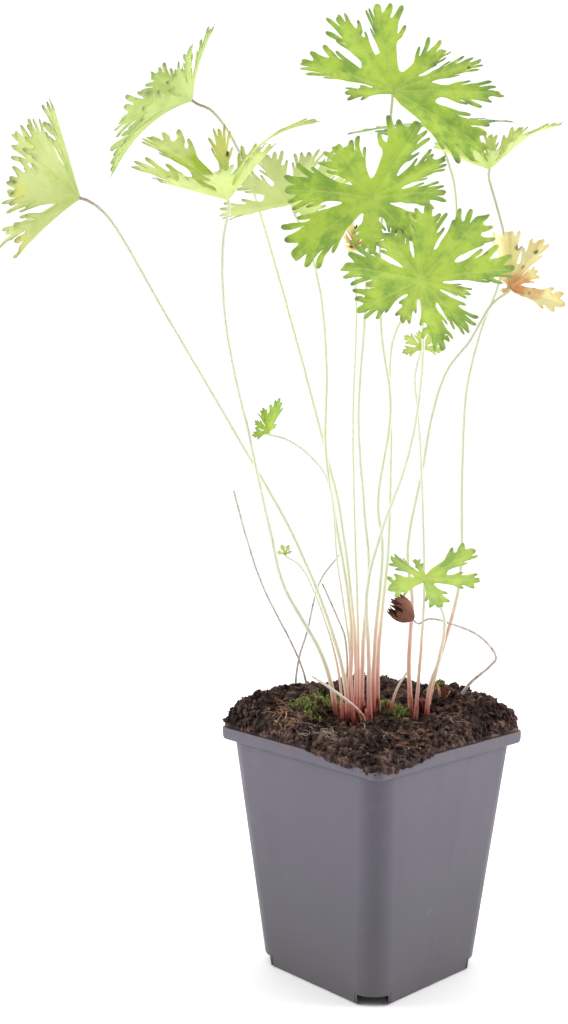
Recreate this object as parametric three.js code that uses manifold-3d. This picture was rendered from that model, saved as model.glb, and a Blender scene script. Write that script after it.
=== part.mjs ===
// A hardy geranium growing in a square nursery pot. Millimetres, +Z up.
// The pot's sides lie along X and Y, its base rests on z = 0 round the origin, and the plant's front
// is the corner of the pot towards -X -Y.
import * as THREE from 'three';
import { mergeVertices } from 'three/addons/utils/BufferGeometryUtils.js';
import Module from 'manifold-3d';

const wasm = await Module();
wasm.setup();

// Driving dimensions of the pot
const POT_HEIGHT = 100;
const RIM_WIDTH = 90;
const RIM_DEPTH = 5;
const RIM_CORNER = 4;
const BODY_TOP_WIDTH = 86.8;
const BODY_FOOT_WIDTH = 66.6;
const BODY_CORNER = 10;
const PLASTIC = 1.1;
const FLOOR = 1.4;
const FOOT_NOTCH_WIDTH = 12.3;
const FOOT_NOTCH_DEPTH = 11;
const FOOT_NOTCH_HEIGHT = 4.2;
const DRAIN_DIAMETER = 7;
const DRAIN_CIRCLE = 17;

// Driving dimensions of the soil and the plant
const GAP = 0.3;
const HEAP_WIDTH = 88;
const HEAP_FRONT_RISE = 1.5;
const HEAP_BACK_RISE = 8.5;
const HEAP_SIDE_RISE = 11.5;
const HEAP_EDGE_STEEP = 10;
const HEAP_EDGE_SOFT = 4;
const HEAP_SQUARENESS = 14;
const HEAP_RAGGEDNESS = 0.03;
const CLOD_COUNT = 64;
const CLOD_RISE = 0.42;
const FOOT_HEIGHT = 98;
const BLADE_THICKNESS = 0.66;
const STEM_SIDES = 5;
const STEM_TAPER = 0.4;
const STEPS_PER_SPAN = 2;

const GREEN = 0x8fc23c;
const PALE_GREEN = 0xc6d978;
const GREY_GREEN = 0x9db86a;
const WITHERED = 0xe6c88c;
const DRY_BROWN = 0x6b4a38;
const PETIOLE = 0xd6d2b0;
const PINK_PETIOLE = 0xc98d80;
const DRY_STALK = 0xb7a58c;

// A place on the plant: across the front, back from it, and up
function spot([across, back, up]) {
  return new THREE.Vector3((across + back) * Math.SQRT1_2, (back - across) * Math.SQRT1_2, up);
}

// A repeatable number from 0 to 1 for each seed
function chance(seed) {
  const wave = Math.sin(seed * 12.9898 + 4.1) * 43758.5453;
  return wave - Math.floor(wave);
}

function toSolid(geometry) {
  const bare = geometry.clone();
  bare.deleteAttribute('normal');
  bare.deleteAttribute('uv');
  const merged = mergeVertices(bare, 1e-4);
  const mesh = new wasm.Mesh({
    numProp: 3,
    vertProperties: new Float32Array(merged.attributes.position.array),
    triVerts: new Uint32Array(merged.index.array),
  });
  return new wasm.Manifold(mesh);
}

function toGeometry(solid) {
  const mesh = solid.getMesh();
  const geometry = new THREE.BufferGeometry();
  geometry.setAttribute('position', new THREE.BufferAttribute(mesh.vertProperties, 3));
  geometry.setIndex(new THREE.BufferAttribute(mesh.triVerts, 1));
  geometry.computeVertexNormals();
  return geometry;
}

function indexedGeometry(points, faces) {
  const geometry = new THREE.BufferGeometry();
  const numbers = points.flatMap((point) => point.toArray());
  geometry.setAttribute('position', new THREE.Float32BufferAttribute(numbers, 3));
  geometry.setIndex(faces.flat());
  geometry.computeVertexNormals();
  return geometry;
}

function prism(shape, low, high, curveSegments = 4) {
  const settings = { depth: high - low, bevelEnabled: false, curveSegments };
  return new THREE.ExtrudeGeometry(shape, settings).translate(0, 0, low);
}

function roundedSquare(width, radius) {
  const half = width / 2;
  const shape = new THREE.Shape();
  for (let corner = 0; corner < 4; corner += 1) {
    const turn = corner * Math.PI / 2;
    const side = half - radius;
    const x = corner === 0 || corner === 3 ? side : -side;
    const y = corner < 2 ? side : -side;
    shape.absarc(x, y, radius, turn, turn + Math.PI / 2, false);
  }
  return shape;
}

// The tapered body of the pot between two heights, moved in from its outer faces by an inset
function potBlock(inset, low, high) {
  const halfAt = (z) => THREE.MathUtils.lerp(BODY_FOOT_WIDTH, BODY_TOP_WIDTH, z / POT_HEIGHT) / 2 - inset;
  const half = halfAt(high);
  const geometry = prism(roundedSquare(2 * half, BODY_CORNER - inset), low, high);
  const position = geometry.attributes.position;
  const draw = half - halfAt(low);
  for (let i = 0; i < position.count; i += 1) {
    if (position.getZ(i) < (low + high) / 2) {
      position.setX(i, position.getX(i) - Math.sign(position.getX(i)) * draw);
      position.setY(i, position.getY(i) - Math.sign(position.getY(i)) * draw);
    }
  }
  return toSolid(geometry);
}

// The four slots that lift the pot's corners off the ground, grown by a wall thickness where asked
function footNotches(grow) {
  const cornerReach = (BODY_FOOT_WIDTH / 2 - BODY_CORNER) * Math.SQRT2 + BODY_CORNER;
  const length = FOOT_NOTCH_DEPTH + 20;
  const height = FOOT_NOTCH_HEIGHT + grow;
  const middle = cornerReach - FOOT_NOTCH_DEPTH - grow + length / 2;
  const solids = [];
  for (let corner = 0; corner < 4; corner += 1) {
    const box = new THREE.BoxGeometry(length, FOOT_NOTCH_WIDTH + 2 * grow, height + 1);
    box.translate(middle, 0, (height - 1) / 2);
    box.rotateZ(Math.PI / 4 + corner * Math.PI / 2);
    solids.push(toSolid(box));
  }
  return wasm.Manifold.union(solids);
}

function drainHoles() {
  const solids = [];
  for (let quarter = 0; quarter < 4; quarter += 1) {
    const hole = new THREE.CylinderGeometry(DRAIN_DIAMETER / 2, DRAIN_DIAMETER / 2, 4 * FLOOR, 12);
    hole.rotateX(Math.PI / 2);
    hole.translate(DRAIN_CIRCLE, 0, 0);
    hole.rotateZ(quarter * Math.PI / 2);
    solids.push(toSolid(hole));
  }
  return wasm.Manifold.union(solids);
}

function potGeometry() {
  const rimFoot = POT_HEIGHT - RIM_DEPTH;
  const rim = toSolid(prism(roundedSquare(RIM_WIDTH, RIM_CORNER), rimFoot, POT_HEIGHT));
  const inner = roundedSquare(RIM_WIDTH - 2 * PLASTIC, RIM_CORNER - PLASTIC);
  const underRim = toSolid(prism(inner, rimFoot - 1, POT_HEIGHT - PLASTIC));
  const cavity = potBlock(PLASTIC, FLOOR, POT_HEIGHT + 1).subtract(footNotches(PLASTIC));
  return toGeometry(rim.subtract(underRim)
    .add(potBlock(0, 0, POT_HEIGHT))
    .subtract(cavity)
    .subtract(footNotches(0))
    .subtract(drainHoles()));
}

// Height of the soil heap at a fraction of the way from its middle to its edge, which it meets steeply
// at the front and back and softly at the two side corners
function soilHeight(place, fraction) {
  const back = (place.x + place.y) * Math.SQRT1_2;
  const across = (place.x - place.y) * Math.SQRT1_2;
  const aside = THREE.MathUtils.smoothstep(Math.abs(across), 34, 52);
  const edge = 1 - fraction ** THREE.MathUtils.lerp(HEAP_EDGE_STEEP, HEAP_EDGE_SOFT, aside);
  const rise = HEAP_FRONT_RISE + HEAP_BACK_RISE * THREE.MathUtils.smoothstep(back, -25, 35)
    + HEAP_SIDE_RISE * (across / 50) ** 2;
  let height = POT_HEIGHT + GAP + 1 + edge * rise;
  for (let clod = 0; clod < CLOD_COUNT; clod += 1) {
    const reach = 52 * Math.sqrt(chance(clod));
    const turn = 2 * Math.PI * chance(clod + 200);
    const size = 2.5 + 4 * chance(clod + 400);
    const off = Math.hypot(place.x - reach * Math.cos(turn), place.y - reach * Math.sin(turn)) / size;
    if (off < 1) {
      height += (0.25 + 0.75 * edge) * CLOD_RISE * size * (1 - off * off);
    }
  }
  return height;
}

// Distance to the outline of a square with soft corners, as a part of its half width
function squareness(turn) {
  const sum = Math.abs(Math.cos(turn)) ** HEAP_SQUARENESS + Math.abs(Math.sin(turn)) ** HEAP_SQUARENESS;
  return sum ** (-1 / HEAP_SQUARENESS);
}

// The loose heap over the rim: rings of points round a squarish, ragged outline
function heapGeometry() {
  const sectors = 44;
  const rings = 9;
  const points = [new THREE.Vector3(0, 0, soilHeight(new THREE.Vector3(), 0))];
  const foot = POT_HEIGHT + GAP;
  const faces = [];
  for (let ring = 1; ring <= rings + 1; ring += 1) {
    const fraction = Math.min(ring / rings, 1) ** 0.9;
    for (let s = 0; s < sectors; s += 1) {
      const turn = 2 * Math.PI * (s + 0.5 * (Math.min(ring, rings) % 2)) / sectors;
      const reach = HEAP_WIDTH / 2 * squareness(turn) * (1 - HEAP_RAGGEDNESS * chance(s * 3.7));
      const place = new THREE.Vector3(Math.cos(turn), Math.sin(turn), 0).multiplyScalar(reach * fraction);
      place.z = ring > rings ? foot : soilHeight(place, fraction);
      points.push(place);
    }
  }
  const at = (ring, s) => 1 + (ring - 1) * sectors + (s + sectors) % sectors;
  for (let s = 0; s < sectors; s += 1) {
    faces.push([0, at(1, s), at(1, s + 1)]);
    for (let ring = 1; ring < rings; ring += 1) {
      const lean = ring % 2;
      faces.push([at(ring, s), at(ring + 1, s + lean), at(ring, s + 1)]);
      faces.push([at(ring + 1, s + lean), at(ring + 1, s + 1 + lean), at(ring, s + 1)]);
    }
    faces.push([at(rings, s), at(rings + 1, s), at(rings, s + 1)]);
    faces.push([at(rings + 1, s), at(rings + 1, s + 1), at(rings, s + 1)]);
  }
  const middle = points.push(new THREE.Vector3(0, 0, foot)) - 1;
  for (let s = 0; s < sectors; s += 1) {
    faces.push([middle, at(rings + 1, s + 1), at(rings + 1, s)]);
  }
  return indexedGeometry(points, faces);
}

// The woody rootstock under the soil: two flat-topped heads on one short rhizome
const HEADS = [
  { place: [-5, -2], radius: 11.5, depth: 18 },
  { place: [19.5, -5], radius: 6.5, depth: 13 },
];

function rootstockSolid(grow) {
  const top = FOOT_HEIGHT - GAP;
  const solids = HEADS.map(({ place, radius, depth }) => {
    const profile = [[0, -depth], [0.45, -0.85 * depth], [0.8, -0.5 * depth], [1, -0.15 * depth], [1, 0]];
    const outline = profile.map(([part, level]) => {
      const reach = part > 0 ? part * radius + grow : 0;
      return new THREE.Vector2(reach, level < 0 ? level - grow : 2 * grow);
    });
    outline.push(new THREE.Vector2(0, 2 * grow));
    const knob = new THREE.LatheGeometry(outline, 14);
    knob.rotateX(Math.PI / 2);
    const middle = spot([...place, top]);
    return toSolid(knob.translate(middle.x, middle.y, middle.z));
  });
  const [from, to] = HEADS.map(({ place, depth }) => spot([...place, top - depth / 2]));
  const rhizome = new THREE.CapsuleGeometry(4.2 + grow, from.distanceTo(to), 3, 10);
  const direction = to.clone().sub(from).normalize();
  rhizome.applyQuaternion(new THREE.Quaternion().setFromUnitVectors(new THREE.Vector3(0, 1, 0), direction));
  const middle = from.clone().add(to).multiplyScalar(0.5);
  solids.push(toSolid(rhizome.translate(middle.x, middle.y, middle.z)));
  return wasm.Manifold.union(solids);
}

// A round stem that narrows along a curve; its first ring is level and its last faces the given way
function taperedStem(points, footRadius, tipRadius, tipFacing, grow) {
  const curve = new THREE.CatmullRomCurve3(points, false, 'centripetal');
  const steps = STEPS_PER_SPAN * (points.length - 1);
  const side = new THREE.Vector3(1, 0, 0);
  const rings = [];
  for (let step = 0; step <= steps; step += 1) {
    const along = step / steps;
    let tangent = curve.getTangent(along);
    if (step === 0) tangent = new THREE.Vector3(0, 0, 1);
    if (step === steps && tipFacing) tangent = tipFacing;
    side.projectOnPlane(tangent).normalize();
    const other = tangent.clone().cross(side);
    const radius = THREE.MathUtils.lerp(footRadius, tipRadius, along ** STEM_TAPER) + grow;
    const centre = curve.getPoint(along);
    for (let s = 0; s < STEM_SIDES; s += 1) {
      const turn = 2 * Math.PI * s / STEM_SIDES;
      rings.push(centre.clone().addScaledVector(side, radius * Math.cos(turn))
        .addScaledVector(other, radius * Math.sin(turn)));
    }
  }
  const faces = [];
  for (let step = 0; step < steps; step += 1) {
    for (let s = 0; s < STEM_SIDES; s += 1) {
      const a = step * STEM_SIDES + s;
      const b = step * STEM_SIDES + (s + 1) % STEM_SIDES;
      faces.push([a, b, a + STEM_SIDES], [b, b + STEM_SIDES, a + STEM_SIDES]);
    }
  }
  const last = steps * STEM_SIDES;
  for (let s = 1; s < STEM_SIDES - 1; s += 1) {
    faces.push([0, s + 1, s], [last, last + s, last + s + 1]);
  }
  return indexedGeometry(rings, faces);
}

// One half of a lobe, from its waist to its tip: along the midrib, and aside as a part of the half width
const LOBE_SIDE = {
  waist: [0.42, 0.46],
  outerTooth: [0.695, 0.93],
  notch: [0.61, 0.58],
  shoulder: [0.86, 1.05],
  finger: [0.885, 0.96],
  slit: [0.76, 0.5],
  innerTooth: [0.97, 0.6],
  innerNotch: [0.87, 0.22],
};
const SMALL_LOBE_SIDE = {
  waist: [0.38, 0.45],
  outerTooth: [0.74, 1],
  notch: [0.68, 0.52],
};
const MIDRIB_STATIONS = [0.3, 0.58, 0.82];
const LOBE_HALF_WIDTH = 0.3;
const LOBE_SHARE = 0.64;
const TOOTH_VARIATION = 0.12;
const SMALL_LEAF = 15;
const BASAL_GAP = 80;
const FOLD = 0.22;

// Lobes in turning order, each with its angle, length, lift above the leaf's plane, width factor, the
// turn by which its tip bends back, and the gaps to its neighbours
function lobeRing(leaf) {
  const ring = leaf.lobes.map(([angle, length, lift = leaf.cup, width = 1, droop = 0]) => (
    { angle, length, lift, width, droop }
  ));
  ring.sort((one, other) => one.angle - other.angle);
  ring.forEach((lobe, i) => {
    const next = ring[(i + 1) % ring.length];
    lobe.gap = (next.angle - lobe.angle + 360) % 360;
    next.gapBefore = lobe.gap;
  });
  return ring;
}

// Bends a point of the flat leaf up by the lift of the lobes near its direction
function bent(leaf, ring, x, y, rise) {
  const reach = Math.hypot(x, y);
  const angle = THREE.MathUtils.radToDeg(Math.atan2(y, x));
  let weight = 1e-9;
  let lift = 0;
  for (const lobe of ring) {
    const off = THREE.MathUtils.euclideanModulo(angle - lobe.angle + 180, 360) - 180;
    const pull = Math.exp(-((off / 26) ** 2));
    weight += pull;
    lift += pull * (lobe.lift - lobe.droop * reach / lobe.length);
  }
  const slope = THREE.MathUtils.degToRad(lift / weight);
  const flat = reach > 0 ? Math.cos(slope) : 1;
  const face = spot(leaf.face).normalize();
  const lead = spot(leaf.lead).projectOnPlane(face).normalize();
  const side = face.clone().cross(lead);
  return spot(leaf.hub)
    .addScaledVector(lead, x * flat)
    .addScaledVector(side, y * flat)
    .addScaledVector(face, reach * Math.sin(slope) + rise * Math.cos(slope));
}

// The middle surface of a palmate blade: its points, its faces and the points round its edge in order
function palmateSurface(leaf) {
  const ring = lobeRing(leaf);
  const small = ring.every((lobe) => lobe.length < SMALL_LEAF);
  const fold = leaf.fold ?? FOLD;
  const points = [bent(leaf, ring, 0, 0, 0)];
  const faces = [];
  const edge = [];
  const direction = (angle) => [Math.cos(angle * Math.PI / 180), Math.sin(angle * Math.PI / 180)];
  const add = (x, y, rise) => points.push(bent(leaf, ring, x, y, rise)) - 1;
  const polar = (angle, reach, rise) => {
    const [x, y] = direction(angle);
    return add(x * reach, y * reach, rise);
  };
  const sinus = (lobe, next) => {
    const depth = THREE.MathUtils.clamp(0.86 - 0.0115 * lobe.gap, 0.24, 0.42);
    const reach = depth * Math.min(lobe.length, next.length);
    return polar(lobe.angle + lobe.gap / 2, reach, fold * reach * Math.sin(lobe.gap * Math.PI / 360));
  };
  ring.forEach((lobe, i) => {
    const next = ring[(i + 1) % ring.length];
    if (lobe.gap < BASAL_GAP) {
      lobe.after = [sinus(lobe, next)];
    } else {
      const reach = 0.2 * lobe.length;
      const middle = polar(lobe.angle + lobe.gap / 2, 1.8, 0);
      lobe.after = [polar(lobe.angle + 32, reach, 0), middle, polar(next.angle - 32, 0.2 * next.length, 0)];
      faces.push([0, lobe.after[0], middle], [0, middle, lobe.after[2]]);
    }
    next.before = lobe.after.at(-1);
  });
  ring.forEach((lobe, i) => {
    const [dx, dy] = direction(lobe.angle);
    const place = (along, aside) => add(
      lobe.length * (along * dx - aside * dy),
      lobe.length * (along * dy + aside * dx),
      fold * lobe.length * Math.abs(aside),
    );
    const [near, middle, far] = MIDRIB_STATIONS.slice(0, small ? 2 : 3).map((along) => place(along, 0));
    const tip = place(1, 0.04 * (chance(i + leaf.seed) - 0.5));
    for (const way of [-1, 1]) {
      const gap = way > 0 ? lobe.gap : lobe.gapBefore;
      const wedge = Math.tan(THREE.MathUtils.degToRad(Math.min(gap, BASAL_GAP) / 2));
      const half = lobe.width * Math.min(LOBE_HALF_WIDTH, LOBE_SHARE * wedge);
      const side = {};
      Object.entries(small ? SMALL_LOBE_SIDE : LOBE_SIDE).forEach(([name, [along, aside]], n) => {
        const vary = 1 + TOOTH_VARIATION * (chance(7 * i + 3 * n + way + leaf.seed) - 0.5);
        side[name] = place(along * vary, way * aside * half * (2 - vary));
      });
      const root = way > 0 ? lobe.after[0] : lobe.before;
      const strip = [
        [0, near, root], [root, near, side.waist], [side.waist, near, side.notch],
        [side.waist, side.notch, side.outerTooth], [near, middle, side.notch],
      ];
      if (small) {
        strip.push([side.notch, middle, tip]);
      } else {
        strip.push(
          [side.notch, middle, side.slit], [side.notch, side.slit, side.shoulder],
          [side.shoulder, side.slit, side.finger], [middle, far, side.slit],
          [side.slit, far, side.innerNotch], [side.slit, side.innerNotch, side.innerTooth],
          [far, tip, side.innerNotch],
        );
      }
      faces.push(...(way > 0 ? strip : strip.map((face) => face.toReversed())));
      const run = Object.values(side);
      edge.push(...(way > 0 ? [tip, ...run.toReversed(), ...lobe.after] : run));
    }
  });
  return { points, faces, edge };
}

// A closed blade: the middle surface moved out to both sides, split alike, and joined round its edge
function bladeGeometry(leaf) {
  const { points, faces, edge } = palmateSurface(leaf);
  const surface = indexedGeometry(points, faces);
  const normals = surface.attributes.normal;
  const shifted = (way) => points.map((point, i) => point.clone()
    .addScaledVector(new THREE.Vector3().fromBufferAttribute(normals, i), way * BLADE_THICKNESS / 2));
  const count = points.length;
  const all = [...shifted(1), ...shifted(-1)];
  const shell = [...faces, ...faces.map((face) => face.toReversed().map((v) => v + count))];
  edge.forEach((a, i) => {
    const b = edge[(i + 1) % edge.length];
    shell.push([a, b + count, b], [a, a + count, b + count]);
  });
  return indexedGeometry(all, shell);
}

// Every leaf: where its petiole stands in the soil [across, back], the points that the petiole passes,
// the hub of its blade, the way the blade faces and leads, and its lobes as [angle, length, lift, width,
// droop]
const LEAVES = [
  {
    name: 'far_left', foot: [-9.5, -7.5], hub: [-119, -10, 315], face: [-0.95, -0.1, 0.28], lead: [0, 0, 1],
    via: [[-11, -8, 118], [-16, -8, 139], [-32, -8, 179], [-56, -9, 221], [-84, -9, 268], [-108, -10, 308]],
    lobes: [
      [0, 38], [48, 45, 50], [98, 41, 50], [150, 40, 48, 1, 6],
      [-50, 36, 40], [-100, 36, 40], [-152, 37, 32, 1, 8],
    ],
    cup: 32, color: PALE_GREEN,
  },
  {
    name: 'upper_left', foot: [-6, 4.5], hub: [-79, 38, 364], face: [-0.84, -0.2, 0.5], lead: [0, 0, 1],
    via: [
      [-7, 8, 136], [-14, 13, 190], [-21, 16, 218], [-30, 18, 251], [-44, 26, 299], [-59, 33, 343],
      [-70, 36, 359],
    ],
    lobes: [
      [0, 32, 26, 0.8, 15], [36, 20, 26], [76, 30, 50, 1.3, 6], [124, 39, 46, 1.25, 12],
      [172, 46, 41, 1, 25], [-46, 24, 38, 1, 8], [-92, 26, 26], [-138, 36, 34, 1.2, 12],
    ],
    cup: 24, color: GREEN,
  },
  {
    name: 'pale_left', foot: [-13, -3], hub: [-59, -23, 313], face: [-0.12, -0.1, 0.98], lead: [-1, 0, 0],
    via: [[-20, -5, 129], [-37, -8, 161], [-42, -9, 181], [-49, -13, 213], [-60, -17, 265], [-61, -21, 296]],
    lobes: [
      [4, 39, 24], [40, 32, 14], [88, 26, 20], [136, 30, 30], [180, 45, 76, 0.75, 43],
      [-136, 28, 50, 1, 8], [-86, 32, 62, 0.85], [-34, 45, 50, 0.85, 10],
    ],
    cup: 25, color: PALE_GREEN,
  },
  {
    name: 'pale_middle', foot: [-10, 1.5], hub: [-35, 14, 317], face: [-0.15, -0.5, 0.85], lead: [0, 0, 1],
    via: [[-9, 3, 144], [-16, 6, 188], [-20, 8, 215], [-20, 10, 250], [-23, 12, 281], [-29, 14, 303]],
    lobes: [
      [104, 31, -4, 0.8], [68, 29, 24, 1, 6], [34, 34, 26, 1, 6], [-4, 30, 26, 1, 6],
      [-48, 32, 24], [-94, 28], [-140, 24, 6],
    ],
    cup: 20, color: PALE_GREEN,
  },
  {
    name: 'top', foot: [0.5, 0.5], hub: [7, 30, 366], face: [0, -0.9, 0.42], lead: [0, 0, 1],
    via: [[1, 3, 132], [4, 7, 175], [2, 10, 193], [7, 14, 232], [3, 18, 264], [2, 21, 295], [5, 27, 341]],
    lobes: [
      [10, 44, 6, 0.85, 3], [32, 44, 7, 1, 4], [69, 41, 8, 1, 8], [96, 20.5, 14, 0.9, 8],
      [-51, 29.5, 10, 1, 3], [-70, 39.5, 8, 0.9, 4], [-93, 44.5, 8, 0.9, 6], [-128, 47, 8, 1, 8],
    ],
    cup: 6, color: GREEN,
  },
  {
    name: 'centre', foot: [-4.5, -5], hub: [-3, -12, 315], face: [-0.1, -0.88, 0.48], lead: [0, 0, 1],
    via: [[-4, -4, 137], [-2, -3, 168], [-4, -4, 190], [-7, -6, 229], [-5, -7, 268], [-4, -9, 297]],
    lobes: [
      [-29, 37, 8, 1.1], [34, 27.5, 14, 1.2, 6], [84, 35, 12, 1, 10], [132, 39.5, 10, 1.1, 12],
      [-176, 28, 14, 1, 8], [-61, 32], [-90, 29, 14, 1, 8], [-143, 27.5, 8, 1.15],
    ],
    cup: 8, color: GREEN,
  },
  {
    name: 'front_right', foot: [-1, -9.5], hub: [14, -46, 280], face: [0.05, -0.87, 0.5], lead: [0, 0, 1],
    via: [[-2, -10, 134], [-3, -13, 160], [2, -18, 183], [11, -25, 211], [15, -31, 234], [16, -38, 260]],
    lobes: [
      [-8, 32, 5, 1.1], [31, 23.5, 8, 1.1, 4], [81, 29, 10, 1.15, 8], [123, 28.5, 10, 1.15, 8],
      [157, 21, 5, 0.9], [-167, 30.5, 8, 1.05, 8], [-144, 28, 8, 1.1, 8], [-111, 19.5, 5, 0.9],
      [-83, 35, 10, 1.1, 8], [-43, 36.5, 8, 1.1],
    ],
    cup: 5, color: GREEN,
  },
  {
    name: 'rear', foot: [2.5, 4.5], hub: [29, 67, 361], face: [-0.1, -0.1, 0.99], lead: [-1, 0, 0],
    via: [
      [3, 8, 131], [7, 17, 174], [8, 24, 215], [9, 33, 263], [20, 40, 280], [34, 48, 297], [37, 58, 328],
    ],
    lobes: [
      [0, 41, 4, 0.5, 6], [46, 36, -9], [94, 26, -10], [140, 29, -8], [-178, 34, 0, 0.5, 6],
      [-42, 32, 4], [-90, 27, 4], [-136, 29, 4],
    ],
    cup: 0, fold: 0.08, color: GREY_GREEN,
  },
  {
    name: 'edge_right', foot: [21.5, -1.5], hub: [49, 35, 335], face: [0.1, -0.15, 0.98], lead: [1, 0, 0],
    via: [
      [25, 1, 118], [36, 6, 160], [37, 11, 205], [39, 17, 241], [45, 22, 265], [53, 26, 287], [55, 29, 304],
    ],
    lobes: [
      [0, 35, 62, 0.6, 25], [46, 26, 46], [90, 20, 46], [132, 24, 44], [174, 26, 12], [-46, 25, 40],
      [-94, 15, 30], [-138, 16, 26],
    ],
    cup: 25, color: PALE_GREEN,
  },
  {
    name: 'withered_right', foot: [16.5, -4], hub: [54, 2, 282], face: [-0.1, -0.9, 0.4], lead: [0, 0, 1],
    via: [
      [15, -3, 129], [16, -2, 154], [14, -1, 175], [20, 0, 210], [23, 0, 229], [29, 1, 248], [38, 2, 260],
      [47, 3, 275],
    ],
    lobes: [
      [1, 24, 6, 1.15], [-33, 23, 12, 1.05], [-72, 13, 46, 1.2, 10], [-120, 25, 14, 0.7],
      [52, 9, 48, 1.2], [140, 6, 30],
    ],
    cup: 18, color: WITHERED,
  },
  {
    name: 'small_front', foot: [17, -8.5], hub: [16, -30, 256], face: [0, -0.9, 0.4], lead: [0, 0, 1],
    via: [[19, -9, 130], [20, -12, 154], [19, -16, 185], [16, -23, 227], [14, -26, 245]],
    lobes: [[58, 8], [8, 7], [-48, 9], [-104, 8], [112, 8]],
    cup: 10, thin: 0.8, color: PALE_GREEN,
  },
  {
    name: 'young_low', foot: [21.5, -7], hub: [18, -40, 168], face: [0, -0.8, 0.6], lead: [0, 0, 1],
    via: [[23, -10, 119], [26, -17, 133], [27, -26, 150], [22, -35, 161]],
    lobes: [
      [26, 9, 8, 0.8], [58, 15.5, 8, 0.9], [112, 16, 8, 1.1], [-159, 14, 8, 1.2], [-95, 20, 8, 0.8],
      [-60, 22.5, 8, 0.8],
    ],
    cup: 8, color: GREEN,
  },
  {
    name: 'withered_centre', foot: [-5.5, -0.5], hub: [-9, 4, 299], face: [0, -0.9, 0.4], lead: [0, 0, 1],
    via: [[-6, 0, 140], [-8, 2, 190], [-9, 3, 229], [-8, 5, 268]],
    lobes: [
      [20, 9, 34, 1.4, -12], [-46, 9, 40, 1.4, -12], [92, 8, 44, 1.3, -8], [160, 10, 30, 1.4, -12],
      [-112, 8, 44, 1.3, -8],
    ],
    cup: 34, thin: 0.75, color: WITHERED,
  },
  {
    name: 'tiny_folded', foot: [-7.5, -11], hub: [-43, -14, 223], face: [0, -0.9, 0.4], lead: [0, 0, 1],
    via: [[-10, -11, 137], [-15, -12, 170], [-19, -13, 203], [-27, -14, 214], [-36, -14, 220]],
    lobes: [[-20, 14, 30, 1.1], [14, 10, 10, 1.1], [56, 7], [104, 7, 0], [-62, 5, 50]],
    cup: 16, thin: 0.6, color: GREEN,
  },
  {
    name: 'tiny_curled', foot: [-12, -10.5], hub: [-36, -13, 174], face: [0, -0.9, 0.4], lead: [0, 0, 1],
    via: [[-14, -12, 125], [-22, -14, 153], [-30, -13, 169]],
    lobes: [[30, 4.5], [-24, 4], [92, 4], [-80, 3]],
    cup: 34, thin: 0.6, color: PALE_GREEN,
  },
  {
    name: 'dried_curled', foot: [30, 5], hub: [15, -20, 149], face: [-0.75, -0.25, 0.6], lead: [0, 0, 1],
    via: [[40, 2, 118], [48, -3, 127], [50, -8, 132], [43, -13, 141], [33, -16, 146], [22, -18, 149]],
    lobes: [
      [10, 13, 20, 1.5, -50], [66, 12, 26, 1.5, -46], [122, 11, 18, 1.5, -50], [-178, 12, 24, 1.5, -50],
      [-120, 10, 30, 1.5, -40], [-56, 13, 20, 1.5, -52],
    ],
    cup: 20, thin: 0.7, color: DRY_BROWN,
  },
];

// Leafless dry stalks and the stubs of old petioles: the foot [across, back] and the points up to the tip
const STALKS = [
  {
    name: 'dry_stalk_left', foot: [-24, 26],
    via: [[-30, 25, 122], [-46, 22, 155], [-53, 21, 175], [-59, 20, 197]],
  },
  {
    name: 'dry_stalk_tall', foot: [-33, 20],
    via: [[-31, 20, 123], [-27, 18, 138], [-22, 15, 159], [-13, 13, 172]],
  },
  {
    name: 'dry_stalk_short', foot: [-10.5, 7],
    via: [[-11, 8, 135], [-15, 9, 146], [-21, 10, 159]],
  },
  {
    name: 'stub_front', foot: [-3, -14.5], thin: 1.2,
    via: [[-4, -15, 108], [-13, -17, 117], [-25, -16, 125]],
  },
  {
    name: 'stub_middle', foot: [7, 0], thin: 1.2,
    via: [[8, 1, 108], [11, 3, 117], [15, 5, 123]],
  },
];

const PETIOLE_FOOT_RADIUS = 1.2;
const PETIOLE_TIP_RADIUS = 0.58;
const STALK_RADIUS = 0.7;

function footPoint({ foot }) {
  return [...foot, FOOT_HEIGHT];
}

function footRadius({ hub, thin = 1 }) {
  return thin * (hub ? PETIOLE_FOOT_RADIUS : STALK_RADIUS);
}

function petioleGeometry(leaf, grow) {
  const face = spot(leaf.face).normalize();
  const hub = spot(leaf.hub);
  const below = (distance) => hub.clone().addScaledVector(face, -distance);
  const seat = BLADE_THICKNESS / 2 + GAP;
  const points = [footPoint(leaf), ...leaf.via].map(spot);
  points.push(below(seat + 2.4), below(seat));
  return taperedStem(points, footRadius(leaf), PETIOLE_TIP_RADIUS * (leaf.thin ?? 1), face, grow);
}

function stalkGeometry(stalk, grow) {
  const points = [footPoint(stalk), ...stalk.via].map(spot);
  return taperedStem(points, footRadius(stalk), 0.6 * footRadius(stalk), null, grow);
}

// The soil: the root ball inside the pot with the heap on it, and a plain hole round every stem
function soilGeometry() {
  const ball = potBlock(PLASTIC + GAP, FLOOR + GAP, POT_HEIGHT + 2 * GAP)
    .subtract(footNotches(PLASTIC + GAP));
  const holes = [];
  for (const stem of [...LEAVES, ...STALKS]) {
    const shaft = stem.hub ? petioleGeometry(stem, GAP) : stalkGeometry(stem, GAP);
    holes.push(toSolid(shaft));
    const reach = footRadius(stem) + 2 * GAP;
    const socket = new THREE.CylinderGeometry(reach, reach, 2 * GAP, STEM_SIDES);
    const foot = spot(footPoint(stem));
    socket.rotateX(Math.PI / 2).translate(foot.x, foot.y, foot.z);
    holes.push(toSolid(socket));
  }
  return toGeometry(toSolid(heapGeometry()).add(ball).subtract(rootstockSolid(GAP))
    .subtract(wasm.Manifold.union(holes)));
}

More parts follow.
